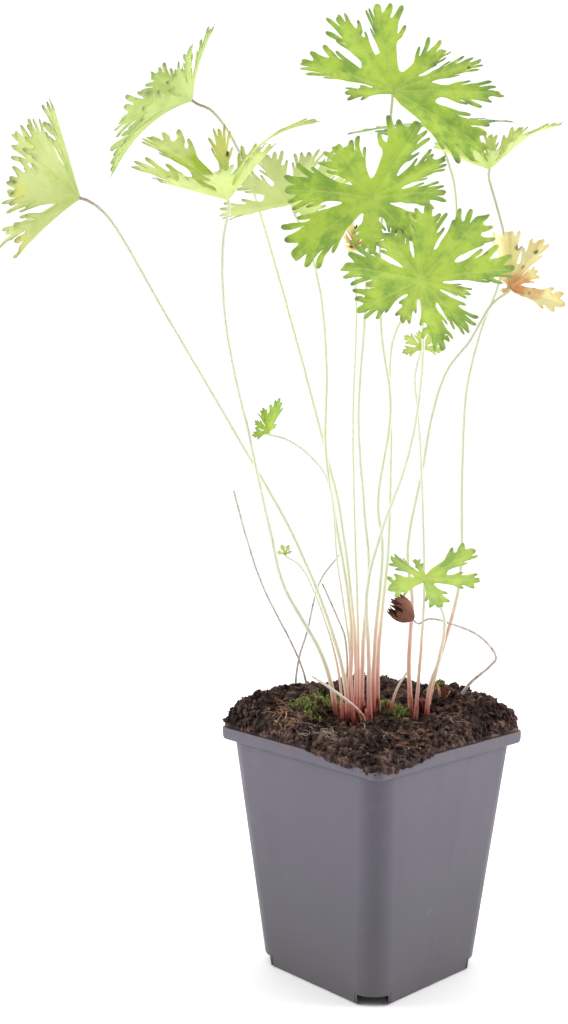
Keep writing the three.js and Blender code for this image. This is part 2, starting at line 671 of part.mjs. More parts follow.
function named(name, geometry, color, roughness) {
  const material = new THREE.MeshStandardMaterial({ color, roughness, metalness: 0 });
  const mesh = new THREE.Mesh(geometry, material);
  mesh.name = name;
  return mesh;
}

LEAVES.forEach((leaf, i) => {
  leaf.seed = 11 * (i + 1);
});

const group = new THREE.Group();
group.add(named('pot', potGeometry(), 0x7f7a86, 0.55));
group.add(named('soil', soilGeometry(), 0x3c2b26, 0.95));
group.add(named('rootstock', toGeometry(rootstockSolid(0)), 0x7a4a34, 0.9));
for (const leaf of LEAVES) {
  const dry = leaf.color === DRY_BROWN;
  group.add(named(`petiole_${leaf.name}`, petioleGeometry(leaf, 0), dry ? DRY_STALK : PETIOLE, 0.6));
  group.add(named(`blade_${leaf.name}`, bladeGeometry(leaf), leaf.color, 0.7));
}
for (const stalk of STALKS) {
  const fresh = stalk.name.startsWith('stub');
  group.add(named(stalk.name, stalkGeometry(stalk, 0), fresh ? PINK_PETIOLE : DRY_STALK, 0.7));
}

export default group;
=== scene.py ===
"""Look of a hardy geranium in its square nursery pot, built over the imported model. Metres, +Z up.

Plant places are given as [across, back, up] in millimetres: across the plant's front, back from it, and up.
"""
import math

import bmesh
import bpy
import numpy as np
from mathutils import Matrix, Vector, noise
from mathutils.geometry import delaunay_2d_cdt


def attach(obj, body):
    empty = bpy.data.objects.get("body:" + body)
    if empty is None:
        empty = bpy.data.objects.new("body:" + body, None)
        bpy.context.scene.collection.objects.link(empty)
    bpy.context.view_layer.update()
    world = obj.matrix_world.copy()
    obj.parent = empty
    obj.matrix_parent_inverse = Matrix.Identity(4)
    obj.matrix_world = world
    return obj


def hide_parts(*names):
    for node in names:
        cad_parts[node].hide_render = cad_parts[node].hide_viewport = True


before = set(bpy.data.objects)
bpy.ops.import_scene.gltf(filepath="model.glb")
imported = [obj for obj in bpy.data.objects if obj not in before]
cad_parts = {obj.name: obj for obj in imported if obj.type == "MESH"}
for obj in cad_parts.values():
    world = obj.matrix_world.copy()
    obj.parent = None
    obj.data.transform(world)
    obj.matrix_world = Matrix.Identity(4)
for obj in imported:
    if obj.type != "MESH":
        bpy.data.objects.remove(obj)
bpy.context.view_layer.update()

scene = bpy.context.scene
MM = 0.001
HALF_TURN = math.sqrt(0.5)


# ---------------------------------------------------------------- small helpers

def spot(place):
    across, back, up = place
    return np.array([(across + back) * HALF_TURN, (back - across) * HALF_TURN, up])


def level(across, back):
    return spot((across, back, 0))[:2]


def unit(v):
    return v / np.linalg.norm(v)


def any_turn(rng):
    return rng.uniform(0, 2 * math.pi)


def around(turn):
    """The step of length 1 in the direction of a turn."""
    return np.array([math.cos(turn), math.sin(turn)])


def chance(seed):
    wave = np.sin(np.asarray(seed, float) * 12.9898 + 4.1) * 43758.5453
    return wave - np.floor(wave)


def smooth(x, low, high):
    t = np.clip((x - low) / (high - low), 0, 1)
    return t * t * (3 - 2 * t)


def linear(red, green, blue):
    """A display colour from 0 to 255 as scene-linear RGBA."""
    rgb = np.array([red, green, blue]) / 255
    return (*np.where(rgb <= 0.04045, rgb / 12.92, ((rgb + 0.055) / 1.055) ** 2.4), 1.0)


def fractal(points, scale, octaves=3, offset=0.0):
    """Smooth noise from about -1 to 1 at each point in mm; scale is its grain in mm."""
    shift = Vector((offset, 1.7 * offset, -0.6 * offset))
    return np.array([noise.fractal(Vector(p) / scale + shift, 1.0, 2.0, octaves) for p in points])


def linked(name, data):
    """A new object in the scene."""
    made = bpy.data.objects.new(name, data)
    scene.collection.objects.link(made)
    return made


def point_values(mesh, **values):
    """Stores a number at each point of a mesh under each name, for the materials to read."""
    for key, numbers in values.items():
        layer = mesh.attributes.new(key, "FLOAT", "POINT")
        layer.data.foreach_set("value", np.asarray(numbers, np.float32))


def mesh_piece(name, points, faces, material, slot, replaced=(), **values):
    """A smooth mesh object from points in mm, with its point values."""
    mesh = bpy.data.meshes.new(name)
    mesh.from_pydata((np.asarray(points) * MM).tolist(), [], [list(map(int, face)) for face in faces])
    point_values(mesh, **values)
    mesh.polygons.foreach_set("use_smooth", [True] * len(mesh.polygons))
    mesh.materials.append(material)
    piece = linked(name, mesh)
    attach(piece, "root")
    if replaced:
        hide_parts(*replaced)
    return piece


class Parts:
    """Gathers points, faces and point values of several small closed shapes into one mesh."""

    def __init__(self, *keys):
        self.points, self.faces, self.count = [], [], 0
        self.values = {key: [] for key in keys}

    def add(self, points, faces, **values):
        points = np.asarray(points, float)
        self.points.append(points)
        self.faces += [[v + self.count for v in face] for face in faces]
        for key, number in values.items():
            self.values[key].append(np.broadcast_to(number, len(points)))
        self.count += len(points)

    def piece(self, name, material, slot, replaced=()):
        values = {key: np.concatenate(runs) for key, runs in self.values.items()}
        return mesh_piece(name, np.concatenate(self.points), self.faces, material, slot, replaced, **values)


# ---------------------------------------------------------------- materials

class Nodes:
    """The node tree of a material or a world."""

    def __init__(self, owner):
        owner.use_nodes = True
        self.owner, self.tree = owner, owner.node_tree

    def node(self, kind, **settings):
        node = self.tree.nodes.new(kind)
        for key, value in settings.items():
            setattr(node, key, value)
        return node

    def join(self, source, socket):
        if hasattr(source, "is_linked"):
            self.tree.links.new(source, socket)
        else:
            socket.default_value = source

    def remap(self, source, low, high, to_low=0.0, to_high=1.0):
        node = self.node("ShaderNodeMapRange", interpolation_type="SMOOTHSTEP")
        for socket, number in zip(("Value", "From Min", "From Max", "To Min", "To Max"),
                                  (source, low, high, to_low, to_high)):
            self.join(number, node.inputs[socket])
        return node.outputs["Result"]

    def math(self, operation, one, other=0.0):
        node = self.node("ShaderNodeMath", operation=operation)
        self.join(one, node.inputs[0])
        self.join(other, node.inputs[1])
        return node.outputs[0]


class Shader(Nodes):
    """A material whose Principled shader is filled socket by socket."""

    def __init__(self, name, roughness, **settings):
        super().__init__(bpy.data.materials.new(name))
        self.body = self.tree.nodes["Principled BSDF"]
        self.body.inputs["Roughness"].default_value = roughness
        for socket, value in settings.items():
            self.body.inputs[socket.replace("_", " ")].default_value = value
        self.place = self.node("ShaderNodeTexCoord").outputs["Object"]

    def value(self, key):
        return self.node("ShaderNodeAttribute", attribute_name=key).outputs["Fac"]

    def noise(self, grain, detail=3.0, rough=0.55, stretch=(1, 1, 1)):
        """Noise from 0 to 1 whose grain is in mm."""
        mapping = self.node("ShaderNodeMapping")
        mapping.inputs["Scale"].default_value = stretch
        self.join(self.place, mapping.inputs["Vector"])
        node = self.node("ShaderNodeTexNoise")
        self.join(mapping.outputs[0], node.inputs["Vector"])
        node.inputs["Scale"].default_value = 1 / (grain * MM)
        node.inputs["Detail"].default_value = detail
        node.inputs["Roughness"].default_value = rough
        return node.outputs["Fac"]

    def cells(self, grain):
        """Distance from the middle of round cells, which are a grain in mm apart."""
        node = self.node("ShaderNodeTexVoronoi")
        self.join(self.place, node.inputs["Vector"])
        node.inputs["Scale"].default_value = 1 / (grain * MM)
        return node.outputs["Distance"]

    def ramp(self, source, *stops):
        """A colour from stops of (position, red, green, blue)."""
        node = self.node("ShaderNodeValToRGB")
        elements = node.color_ramp.elements
        while len(elements) < len(stops):
            elements.new(0.5)
        for element, (position, *color) in zip(elements, stops):
            element.position, element.color = position, linear(*color)
        self.join(source, node.inputs["Fac"])
        return node.outputs["Color"]

    def mix(self, share, one, other):
        """A share of the other colour over the first; either may be (red, green, blue)."""
        node = self.node("ShaderNodeMix", data_type="RGBA")
        for source, socket in ((share, "Factor"), (one, 6), (other, 7)):
            self.join(linear(*source) if isinstance(source, tuple) else source, node.inputs[socket])
        return node.outputs[2]

    def patches(self, color, other, source, low, high, share):
        """Up to a share of another colour where a source rises from low to high."""
        return self.mix(self.remap(source, low, high, 0.0, share), color, other)

    def bump(self, height, depth, strength=1.0, under=None):
        node = self.node("ShaderNodeBump")
        node.inputs["Strength"].default_value = strength
        node.inputs["Distance"].default_value = depth * MM
        self.join(height, node.inputs["Height"])
        if under is not None:
            self.join(under, node.inputs["Normal"])
        return node.outputs["Normal"]

    def finish(self, color, roughness=None, normal=None):
        self.join(color, self.body.inputs["Base Color"])
        if roughness is not None:
            self.join(roughness, self.body.inputs["Roughness"])
        if normal is not None:
            self.join(normal, self.body.inputs["Normal"])
        return self.owner


def pot_plastic():
    s = Shader("pot_plastic", 0.5, Specular_IOR_Level=0.35)
    height = s.node("ShaderNodeSeparateXYZ")
    s.join(s.place, height.inputs[0])
    # Painted shade: the plastic is darker towards the foot and lighter towards the rim.
    body = s.ramp(s.remap(height.outputs["Z"], 0.0, 0.1), (0.0, 80, 78, 83), (0.45, 84, 81, 90),
                  (1.0, 88, 84, 96))
    streaks = s.noise(5.0, 4.0, 0.6, stretch=(1, 1, 0.12))
    body = s.patches(body, (100, 97, 108), streaks, 0.35, 0.7, 0.16)
    body = s.patches(body, (114, 110, 114), s.noise(9.0, 5.0, 0.65), 0.58, 0.78, 0.2)
    body = s.patches(body, (70, 67, 75), s.noise(22.0, 3.0, 0.5, stretch=(1, 1, 0.5)), 0.4, 0.7, 0.15)
    # A soil brown is mixed in by a stored value. It gives soil dust on the rim's top, and plastic that is
    # darker towards the foot and round the front corner from just below the rim up.
    body = s.mix(s.math("MULTIPLY", s.value("dirt"), s.remap(s.noise(1.6, 4.0), 0.35, 0.65)), body,
                 (84, 70, 66))
    grain = s.bump(s.noise(0.7, 3.0), 0.05, 0.35)
    scuffs = s.bump(s.noise(3.0, 4.0, 0.7, stretch=(1, 1, 0.2)), 0.08, 0.3, grain)
    return s.finish(body, s.remap(streaks, 0.3, 0.75, 0.42, 0.62), scuffs)


def soil_material():
    s = Shader("soil", 0.95, Specular_IOR_Level=0.15)
    dark = (18, 12, 12)
    color = s.ramp(s.noise(3.2, 5.0, 0.65), (0.36, *dark), (0.52, 64, 48, 45), (0.66, 118, 94, 86))
    color = s.mix(s.value("shade"), color, (104, 82, 73))
    color = s.patches(color, (104, 82, 70), s.noise(0.8, 3.0, 0.7), 0.55, 0.75, 0.4)
    color = s.patches(color, dark, s.noise(11.0, 2.0), 0.46, 0.62, 0.6)
    pits = s.bump(s.cells(0.9), 0.25, 0.6)
    return s.finish(color, None, s.bump(s.noise(0.45, 4.0, 0.7), 0.2, 0.8, pits))


def fibre_material():
    s = Shader("root_fibre", 0.85, Specular_IOR_Level=0.2)
    color = s.ramp(s.value("shade"), (0.0, 110, 82, 62), (0.5, 158, 126, 96), (1.0, 146, 134, 122))
    color = s.patches(color, (92, 68, 54), s.noise(2.0, 3.0), 0.4, 0.7, 0.6)
    return s.finish(color, None, s.bump(s.noise(0.4, 3.0, 0.6, stretch=(1, 1, 0.4)), 0.1, 0.6))


def moss_material():
    s = Shader("moss", 0.75, Specular_IOR_Level=0.25)
    color = s.ramp(s.value("shade"), (0.0, 70, 68, 38), (0.5, 134, 144, 74), (1.0, 194, 204, 130))
    color = s.patches(color, (72, 88, 30), s.noise(3.0, 3.0), 0.45, 0.7, 0.5)
    return s.finish(color, None, s.bump(s.noise(0.3, 2.0), 0.06, 0.5))


def bark_material():
    s = Shader("rootstock_bark", 0.85, Specular_IOR_Level=0.2)
    color = s.ramp(s.noise(2.6, 5.0, 0.65), (0.3, 70, 42, 34), (0.55, 112, 74, 56), (0.75, 146, 112, 92))
    color = s.mix(s.remap(s.cells(1.8), 0.1, 0.5, 0.35, 0.0), color, (46, 26, 20))
    return s.finish(color, None, s.bump(s.cells(1.4), 0.4, 0.8, s.bump(s.noise(0.7, 3.0), 0.2, 0.6)))


def sheath_material():
    s = Shader("stipule_sheath", 0.7, Specular_IOR_Level=0.25)
    color = s.ramp(s.value("shade"), (0.0, 92, 30, 30), (0.5, 140, 78, 58), (1.0, 186, 140, 112))
    fine = s.noise(0.9, 3.0, 0.6, stretch=(1, 1, 0.25))
    color = s.patches(color, (84, 40, 34), fine, 0.4, 0.7, 0.5)
    return s.finish(color, None, s.bump(fine, 0.12, 0.6))


def petiole_material():
    s = Shader("petiole", 0.5, Specular_IOR_Level=0.35, Subsurface_Weight=0.12,
               Subsurface_Radius=(0.0012, 0.0008, 0.0005))
    wander = s.math("MULTIPLY", s.math("SUBTRACT", s.noise(7.0, 3.0), 0.5), 0.3)
    color = s.ramp(s.math("ADD", s.value("blush"), wander), (0.0, 212, 217, 194), (0.25, 222, 211, 190),
                   (0.52, 216, 166, 152), (0.8, 186, 90, 84), (1.0, 108, 30, 34))
    fine = s.noise(1.6, 3.0, 0.6)
    color = s.patches(color, (192, 196, 168), fine, 0.45, 0.7, 0.25)
    color = s.mix(s.value("brown"), color, (150, 120, 118))
    return s.finish(color, s.remap(fine, 0.3, 0.7, 0.42, 0.6), s.bump(fine, 0.06, 0.3))


def dry_stalk_material():
    s = Shader("dry_stalk", 0.8, Specular_IOR_Level=0.2)
    fine = s.noise(1.1, 4.0, 0.65, stretch=(1, 1, 0.25))
    color = s.ramp(fine, (0.3, 148, 136, 128), (0.5, 196, 188, 180), (0.72, 216, 210, 204))
    color = s.mix(s.value("blush"), color, (120, 78, 62))
    color = s.patches(color, (136, 116, 108), s.noise(3.5, 3.0), 0.5, 0.72, 0.4)
    return s.finish(color, None, s.bump(fine, 0.12, 0.7))


LIGHT_THROUGH = 0.32
PALE_AND_PAINTED_LIGHT_COLOR, YELLOWED, BLACK = (238, 242, 196), (232, 228, 128), (0, 0, 0)


def leaf_material(name, fresh, deep, tip, under, vein, heart, spot_color, glow, roughness=0.55):
    """A thin blade: two greens, tints, pale veins, darker tooth tips, spots, and light through it."""
    s = Shader(name, roughness, Specular_IOR_Level=0.3)
    color = s.mix(s.remap(s.noise(11.0, 4.0, 0.6), 0.4, 0.66), fresh, deep)
    mottle = s.noise(1.5, 4.0, 0.65)
    spread = lambda key, low, high, *ends: s.math("MULTIPLY", s.value(key), s.remap(mottle, low, high, *ends))
    color = s.patches(color, under, mottle, 0.45, 0.75, 0.35)
    color = s.patches(color, deep, s.noise(2.8, 3.0, 0.6), 0.5, 0.72, 0.35)
    color = s.mix(spread("heart", 0.3, 0.6, 0.6, 1.0), color, heart)
    color = s.patches(color, vein, s.value("vein"), 0.15, 0.95, 0.55)
    color = s.mix(s.math("MULTIPLY", s.value("under"), 0.35), color, under)
    # A value set per leaf lifts its colour towards a pale yellow-green. On pale_middle this is painted light
    # that makes up for the shade the leaves above cast on it; on young_low it gives the leaf its own paler
    # green.
    color = s.mix(s.value("wash"), color, PALE_AND_PAINTED_LIGHT_COLOR)
    color = s.mix(spread("yellow", 0.3, 0.6, 0.45, 0.95), color, YELLOWED)
    color = s.mix(spread("tip", 0.2, 0.6, 0.35, 0.8), color, tip)
    color = s.mix(s.value("stain"), color, spot_color)
    ribs = s.bump(s.value("vein"), 0.1, 0.25, s.bump(s.noise(1.4, 2.0, 0.5), 0.08, 0.25))
    # Painted shade: a value set per leaf darkens the leaf's whole colour, and the colour of the light through
    # it, towards black. It is used on leaves that the left lamp lights head-on.
    dimmed = lambda tint: s.mix(s.value("dim"), tint, BLACK)
    s.finish(dimmed(color), s.remap(mottle, 0.3, 0.7, roughness - 0.07, roughness + 0.12), ribs)
    through = s.node("ShaderNodeBsdfTranslucent")
    s.join(dimmed(s.mix(0.55, color, glow)), through.inputs["Color"])
    s.join(ribs, through.inputs["Normal"])
    both = s.node("ShaderNodeMixShader")
    both.inputs["Fac"].default_value = LIGHT_THROUGH
    s.join(s.body.outputs["BSDF"], both.inputs[1])
    s.join(through.outputs["BSDF"], both.inputs[2])
    s.join(both.outputs["Shader"], s.tree.nodes["Material Output"].inputs["Surface"])
    return s.owner


GREY_TIP, BLACK_SPOT = (96, 104, 92), (34, 34, 26)
GREEN, YOUNG, PALE, GREY = "leaf_green", "leaf_young", "leaf_pale", "leaf_grey_green"
WITHERED, DRY = "leaf_withered", "leaf_dry"
LEAF_COLORS = {
    GREEN: [(204, 228, 98), (144, 182, 84), GREY_TIP, (196, 214, 138), (214, 230, 134), (208, 228, 98),
            BLACK_SPOT, (206, 228, 88)],
    YOUNG: [(206, 224, 128), (182, 206, 112), GREY_TIP, (208, 220, 158), (214, 228, 152), (214, 228, 136),
            BLACK_SPOT, (214, 230, 132)],
    PALE: [(220, 230, 148), (186, 208, 112), (124, 126, 88), (222, 230, 172), (226, 234, 168),
           (178, 206, 52), BLACK_SPOT, (218, 232, 136)],
    GREY: [(172, 196, 118), (144, 174, 104), (96, 104, 90), (184, 200, 150), (194, 208, 148),
           (190, 208, 130), BLACK_SPOT, (190, 212, 120)],
    WITHERED: [(248, 244, 202), (242, 230, 168), (222, 190, 128), (246, 238, 200), (236, 214, 160),
               (210, 128, 84), (44, 28, 20), (250, 242, 190), 0.7],
    DRY: [(148, 96, 76), (92, 56, 46), (52, 38, 34), (136, 92, 76), (144, 100, 82), (92, 56, 44),
          (30, 20, 16), (120, 80, 60), 0.8],
}
LEAF_LOOKS = {name: leaf_material(name, *colors) for name, colors in LEAF_COLORS.items()}
POT, SOIL, BARK = pot_plastic(), soil_material(), bark_material()
PETIOLE, DRY_STALK, SHEATH = petiole_material(), dry_stalk_material(), sheath_material()
FIBRE, MOSS = fibre_material(), moss_material()


# ---------------------------------------------------------------- pot

POT_HEIGHT = 100
RIM_WIDTH, RIM_DEPTH, RIM_CORNER = 90, 5, 4
BODY_TOP_WIDTH, BODY_FOOT_WIDTH, BODY_CORNER = 86.8, 66.6, 10
PLASTIC, FLOOR = 1.1, 1.4
NOTCH_WIDTH, NOTCH_DEPTH, NOTCH_HEIGHT = 12.3, 11, 4.2
CORNER_REACH = (BODY_FOOT_WIDTH / 2 - BODY_CORNER) * math.sqrt(2) + BODY_CORNER
DRAIN_RADIUS, DRAIN_CIRCLE = 3.5, 17
CUT_PAST = 20
SHARP_EDGE = 38


def body_half(z):
    return (BODY_FOOT_WIDTH + (BODY_TOP_WIDTH - BODY_FOOT_WIDTH) * z / POT_HEIGHT) / 2


def round_square(turn, half, radius):
    """Reach of a square with round corners."""
    c, s = np.abs(np.cos(turn)), np.abs(np.sin(turn))
    side = half / np.maximum(c, s)
    centre = half - radius
    lean = centre * (c + s)
    arc = lean + np.sqrt(np.maximum(lean ** 2 - 2 * centre ** 2 + radius ** 2, 0))
    inside = side * np.minimum(c, s) <= centre
    return np.where(inside, side, arc)


def body_outline(turn, z, inset=0.0):
    return round_square(turn, body_half(z) - inset, BODY_CORNER - inset)


def ring_faces(rings, sides):
    """Faces of a closed tube of rings, whose last two points are the middles of its two ends."""
    faces = []
    for ring in range(rings - 1):
        for k in range(sides):
            a, b = ring * sides + k, ring * sides + (k + 1) % sides
            faces.append((a, b, b + sides, a + sides))
    end = (rings - 1) * sides
    for k in range(sides):
        n = (k + 1) % sides
        faces += [(end + sides, n, k), (end + sides + 1, end + k, end + n)]
    return faces


def ring_shell(name, rows, turns, material, slot, replaced=(), **values):
    """A closed shell through rows of (reach at each turn, height at each turn)."""
    rings = [np.stack([reach * np.cos(turns), reach * np.sin(turns), np.broadcast_to(z, len(turns))], 1)
             for reach, z in rows]
    ends = [(0, 0, np.mean(rows[k][1])) for k in (0, -1)]
    return mesh_piece(name, np.vstack([*rings, ends]), ring_faces(len(rows), len(turns)), material, slot,
                      replaced, **values)


def boolean(piece, tool, operation):
    modifier = piece.modifiers.new("boolean", "BOOLEAN")
    modifier.operation, modifier.object, modifier.solver = operation, tool, "EXACT"
    depsgraph = bpy.context.evaluated_depsgraph_get()
    mesh = bpy.data.meshes.new_from_object(piece.evaluated_get(depsgraph))
    piece.modifiers.clear()
    piece.data = mesh
    bpy.data.objects.remove(tool)


def cutter(make, place, **settings):
    """A shape to cut with, made by a bmesh call and put in its place by a matrix."""
    mesh = bpy.data.meshes.new("tool")
    build = bmesh.new()
    make(build, **settings)
    build.transform(place)
    build.to_mesh(mesh)
    build.free()
    return linked("tool", mesh)


def cutter_box(length, width, low, high, middle, turn):
    """A block whose middle is at a distance along a turn from the pot's axis."""
    place = (Matrix.Rotation(turn, 4, "Z") @ Matrix.Translation((middle * MM, 0, (low + high) / 2 * MM))
             @ Matrix.Diagonal((length * MM, width * MM, (high - low) * MM, 1)))
    return cutter(bmesh.ops.create_cube, place, size=1)


def cutter_round(radius, low, high, x, y):
    place = Matrix.Translation((x * MM, y * MM, (low + high) / 2 * MM))
    return cutter(bmesh.ops.create_cone, place, cap_ends=True, segments=32, radius1=radius * MM,
                  radius2=radius * MM, depth=(high - low) * MM)


def make_pot():
    """The pot: outer wall, rim and inner wall in rows from its foot up and down again, then the cuts."""
    quarter_turn = [*np.arange(0, 34, 4.25), *np.arange(34, 56, 0.6), *np.arange(56, 90, 4.25)]
    turns = np.array([quarter * math.pi / 2 + math.radians(a) for quarter in range(4) for a in quarter_turn])
    foot = lambda z, inset=0.0: body_outline(turns, z, inset)
    rim = lambda inset: round_square(turns, RIM_WIDTH / 2 - inset, max(RIM_CORNER - inset, 0.5))
    rim_foot = POT_HEIGHT - RIM_DEPTH
    rows = [(foot(0, 0.9), 0.0), (foot(0, 0.4), 0.05), (foot(0.4, 0.05), 0.4)]
    rows += [(foot(z), z) for z in (1.0, 5, 10, 20, 30, 40, 50, 60, 70, 80, 88, 93, 97,
                                    POT_HEIGHT - PLASTIC - 0.15)]
    rows += [(rim(PLASTIC + 0.4), POT_HEIGHT - PLASTIC), (rim(PLASTIC), POT_HEIGHT - PLASTIC - 0.4),
             (rim(PLASTIC), rim_foot + 0.25), (rim(PLASTIC - 0.15), rim_foot), (rim(0.8), rim_foot),
             (rim(0.5), rim_foot + 0.2), (rim(0.2), rim_foot + 0.9), (rim(0), rim_foot + 2),
             (rim(0), POT_HEIGHT - 0.6), (rim(0.12), POT_HEIGHT - 0.2), (rim(0.5), POT_HEIGHT)]
    top = POT_HEIGHT
    rows += [(foot(top, PLASTIC - 0.5), top), (foot(top, PLASTIC - 0.12), top - 0.15)]
    rows += [(foot(z, PLASTIC), z) for z in (top - 0.6, 97, 90, 80, 60, 40, 20, 6, FLOOR + 1)]
    rows += [(foot(FLOOR, PLASTIC + 0.2), FLOOR + 0.3), (foot(FLOOR, PLASTIC + 0.9), FLOOR)]
    ridge = 0.12 * fractal(np.stack([40 * np.cos(turns), 40 * np.sin(turns), 0 * turns], 1), 14.0)
    wavy = [(reach + ridge * (smooth(z, 10, 60) * (1 - smooth(z, 85, 96))), z) for reach, z in rows]
    pot = ring_shell("pot_shell", wavy, turns, POT, "pot_plastic", ["pot"])
    for corner in range(4):
        turn = math.pi / 4 + corner * math.pi / 2
        inner = CORNER_REACH - NOTCH_DEPTH
        pocket = (inner - PLASTIC, CORNER_REACH - 2.2)
        length = NOTCH_DEPTH + CUT_PAST
        boolean(pot, cutter_box(pocket[1] - pocket[0], NOTCH_WIDTH + 2 * PLASTIC, 0.6,
                                NOTCH_HEIGHT + PLASTIC, sum(pocket) / 2, turn), "UNION")
        boolean(pot, cutter_box(length, NOTCH_WIDTH, -1, NOTCH_HEIGHT, inner + length / 2, turn),
                "DIFFERENCE")
    for quarter in range(4):
        place = DRAIN_CIRCLE * around(quarter * math.pi / 2)
        boolean(pot, cutter_round(DRAIN_RADIUS, -1, 3 * FLOOR, *place), "DIFFERENCE")
    mesh = pot.data
    places = np.zeros(3 * len(mesh.vertices))
    mesh.vertices.foreach_get("co", places)
    places = places.reshape(-1, 3) / MM
    front = -(places[:, 0] + places[:, 1]) * HALF_TURN
    # Soil dust on the rim's top. The plastic is darker towards the foot, and round the front corner from just
    # below the rim up.
    dirt = smooth(places[:, 2], 97.5, 100) * 0.75 + (1 - smooth(places[:, 2], 0, 12)) * 0.35
    dirt += 0.5 * smooth(places[:, 2], 94.5, 96.5) * smooth(front, 48, 58)
    point_values(mesh, dirt=np.minimum(dirt, 1))
    mesh.polygons.foreach_set("use_smooth", [True] * len(mesh.polygons))
    mesh.set_sharp_from_angle(angle=math.radians(SHARP_EDGE))


make_pot()


# ---------------------------------------------------------------- soil

GAP = 0.3
HEAP_HALF, HEAP_CORNER = 44.8, 5
CRUST_HALF, LIP = 44.5, 1.2
HEAP_FRONT_RISE, HEAP_BACK_RISE, HEAP_SIDE_RISE = 1.5, 8.5, 11.5
CLODS = np.arange(64)
CLOD_RISE = 0.42
CLOD_REACH, CLOD_TURN = 52 * np.sqrt(chance(CLODS)), 2 * np.pi * chance(CLODS + 200)
CLOD_X, CLOD_Y = CLOD_REACH * np.cos(CLOD_TURN), CLOD_REACH * np.sin(CLOD_TURN)
CLOD_SIZE = 2.5 + 4 * chance(CLODS + 400)


def heap_edge(turn):
    return round_square(turn, HEAP_HALF, HEAP_CORNER)


def soil_height(x, y):
    x, y = np.atleast_1d(x).astype(float), np.atleast_1d(y).astype(float)
    fraction = np.minimum(np.hypot(x, y) / heap_edge(np.arctan2(y, x)), 1)
    back, across = (x + y) * HALF_TURN, (x - y) * HALF_TURN
    edge = 1 - fraction ** (10 - 6 * smooth(np.abs(across), 34, 52))
    rise = HEAP_FRONT_RISE + HEAP_BACK_RISE * smooth(back, -25, 35) + HEAP_SIDE_RISE * (across / 50) ** 2
    height = POT_HEIGHT + GAP + 1 + edge * rise
    off = np.hypot(x[:, None] - CLOD_X, y[:, None] - CLOD_Y) / CLOD_SIZE
    lumps = (CLOD_RISE * CLOD_SIZE * np.maximum(1 - off ** 2, 0)).sum(1)
    return height + (0.25 + 0.75 * edge) * lumps


def ground(x, y):
    """The soil's height at one place."""
    return soil_height(x, y)[0]


def crumble(points, grain, seed):
    """Round lumps from 0 to 1, packed at a grain in mm."""
    shift = Vector((seed, 3.1 * seed, 0))
    near = np.array([noise.voronoi(Vector(p) / grain + shift)[0][0] for p in points])
    return np.maximum(1 - (near / 0.75) ** 2, 0)


def overhang(turn):
    """How far the soil hangs down over the rim's outer face, in mm: only round the front corner."""
    off = np.degrees((np.asarray(turn) + 3 * math.pi / 4 + math.pi) % (2 * math.pi) - math.pi)
    return 2.9 * smooth(off, -44, -12) * (1 - smooth(off, 6, 34))


def make_heap():
    """The soil in the pot, its crumbly top and the lip that hangs over the rim at the front corner."""
    sectors, rings = 384, 96
    turns = 2 * np.pi * np.arange(sectors) / sectors
    rough = np.array([noise.fractal(Vector((9 * math.cos(t), 9 * math.sin(t), 7)), 1.0, 2.0, 3)
                      for t in turns])
    hang = overhang(turns) * np.clip(0.75 + 0.6 * rough, 0.1, 1.2)
    proud = smooth(hang, 0.1, 0.8)
    outline = round_square(turns, CRUST_HALF + LIP * proud, HEAP_CORNER) + 0.5 * rough
    rows = []
    for fraction in (np.arange(1, rings + 1) / rings) ** 0.85:
        x, y = outline * fraction * np.cos(turns), outline * fraction * np.sin(turns)
        flat = np.stack([x, y, 0 * x], 1)
        edge = 1 - 0.6 * fraction ** 12
        bumps = (1.2 * crumble(flat, 2.6, 5.0) + 0.8 * crumble(flat, 1.2, 9.0) + 0.6 * fractal(flat, 5.0)
                 + 0.45 * fractal(flat, 1.1, 2, 3.0))
        rows.append((outline * fraction, soil_height(x, y) - 1.0 + edge * bumps))
    over = POT_HEIGHT + 0.75 * GAP
    face = round_square(turns, RIM_WIDTH / 2 + 0.08, RIM_CORNER)
    rows += [(outline - 0.1, over - 0.6 * hang), (outline - 0.25 - 0.3 * proud, over - hang),
             (np.where(hang > 0.3, face, outline - 0.8), over - 0.9 * hang),
             (np.where(hang > 0.3, face, outline - 0.9), np.full(sectors, over))]
    inset = PLASTIC + GAP
    ball = lambda z: body_outline(turns, z, inset)
    notch_reach = CORNER_REACH - NOTCH_DEPTH - inset
    near_corner = np.abs(np.cos(turns)) * HALF_TURN + np.abs(np.sin(turns)) * HALF_TURN
    foot = lambda z: np.minimum(ball(z), notch_reach / near_corner)
    rows.append((ball(POT_HEIGHT), POT_HEIGHT + 0.5 * GAP))
    rows += [(ball(z), z) for z in (99, 90, 70, 50, 30, 15, NOTCH_HEIGHT + inset)]
    rows += [(foot(NOTCH_HEIGHT + inset), NOTCH_HEIGHT + inset - 0.2), (foot(FLOOR + GAP), FLOOR + GAP)]
    shade = 0.25 * chance(np.arange(len(rows) * sectors + 2) * 1.37) ** 3
    return ring_shell("soil_heap", rows, turns, SOIL, "soil", ["soil"], shade=shade)


make_heap()


def lump_shapes(count, seed, roughness):
    """Unit lumps: rounded stones with dents, as (points, faces)."""
    build = bmesh.new()
    bmesh.ops.create_icosphere(build, subdivisions=2, radius=1)
    base = np.array([v.co for v in build.verts])
    faces = [[v.index for v in f.verts] for f in build.faces]
    build.free()
    shapes = []
    for i in range(count):
        swell = np.maximum(1 + roughness * fractal(base + 11 * i + seed, 0.7, 3), 0.3)
        shapes.append(base * swell[:, None])
    return shapes, faces


LUMPS, LUMP_FACES = lump_shapes(24, 3.0, 0.9)


def any_lump(rng):
    return LUMPS[rng.integers(len(LUMPS))]


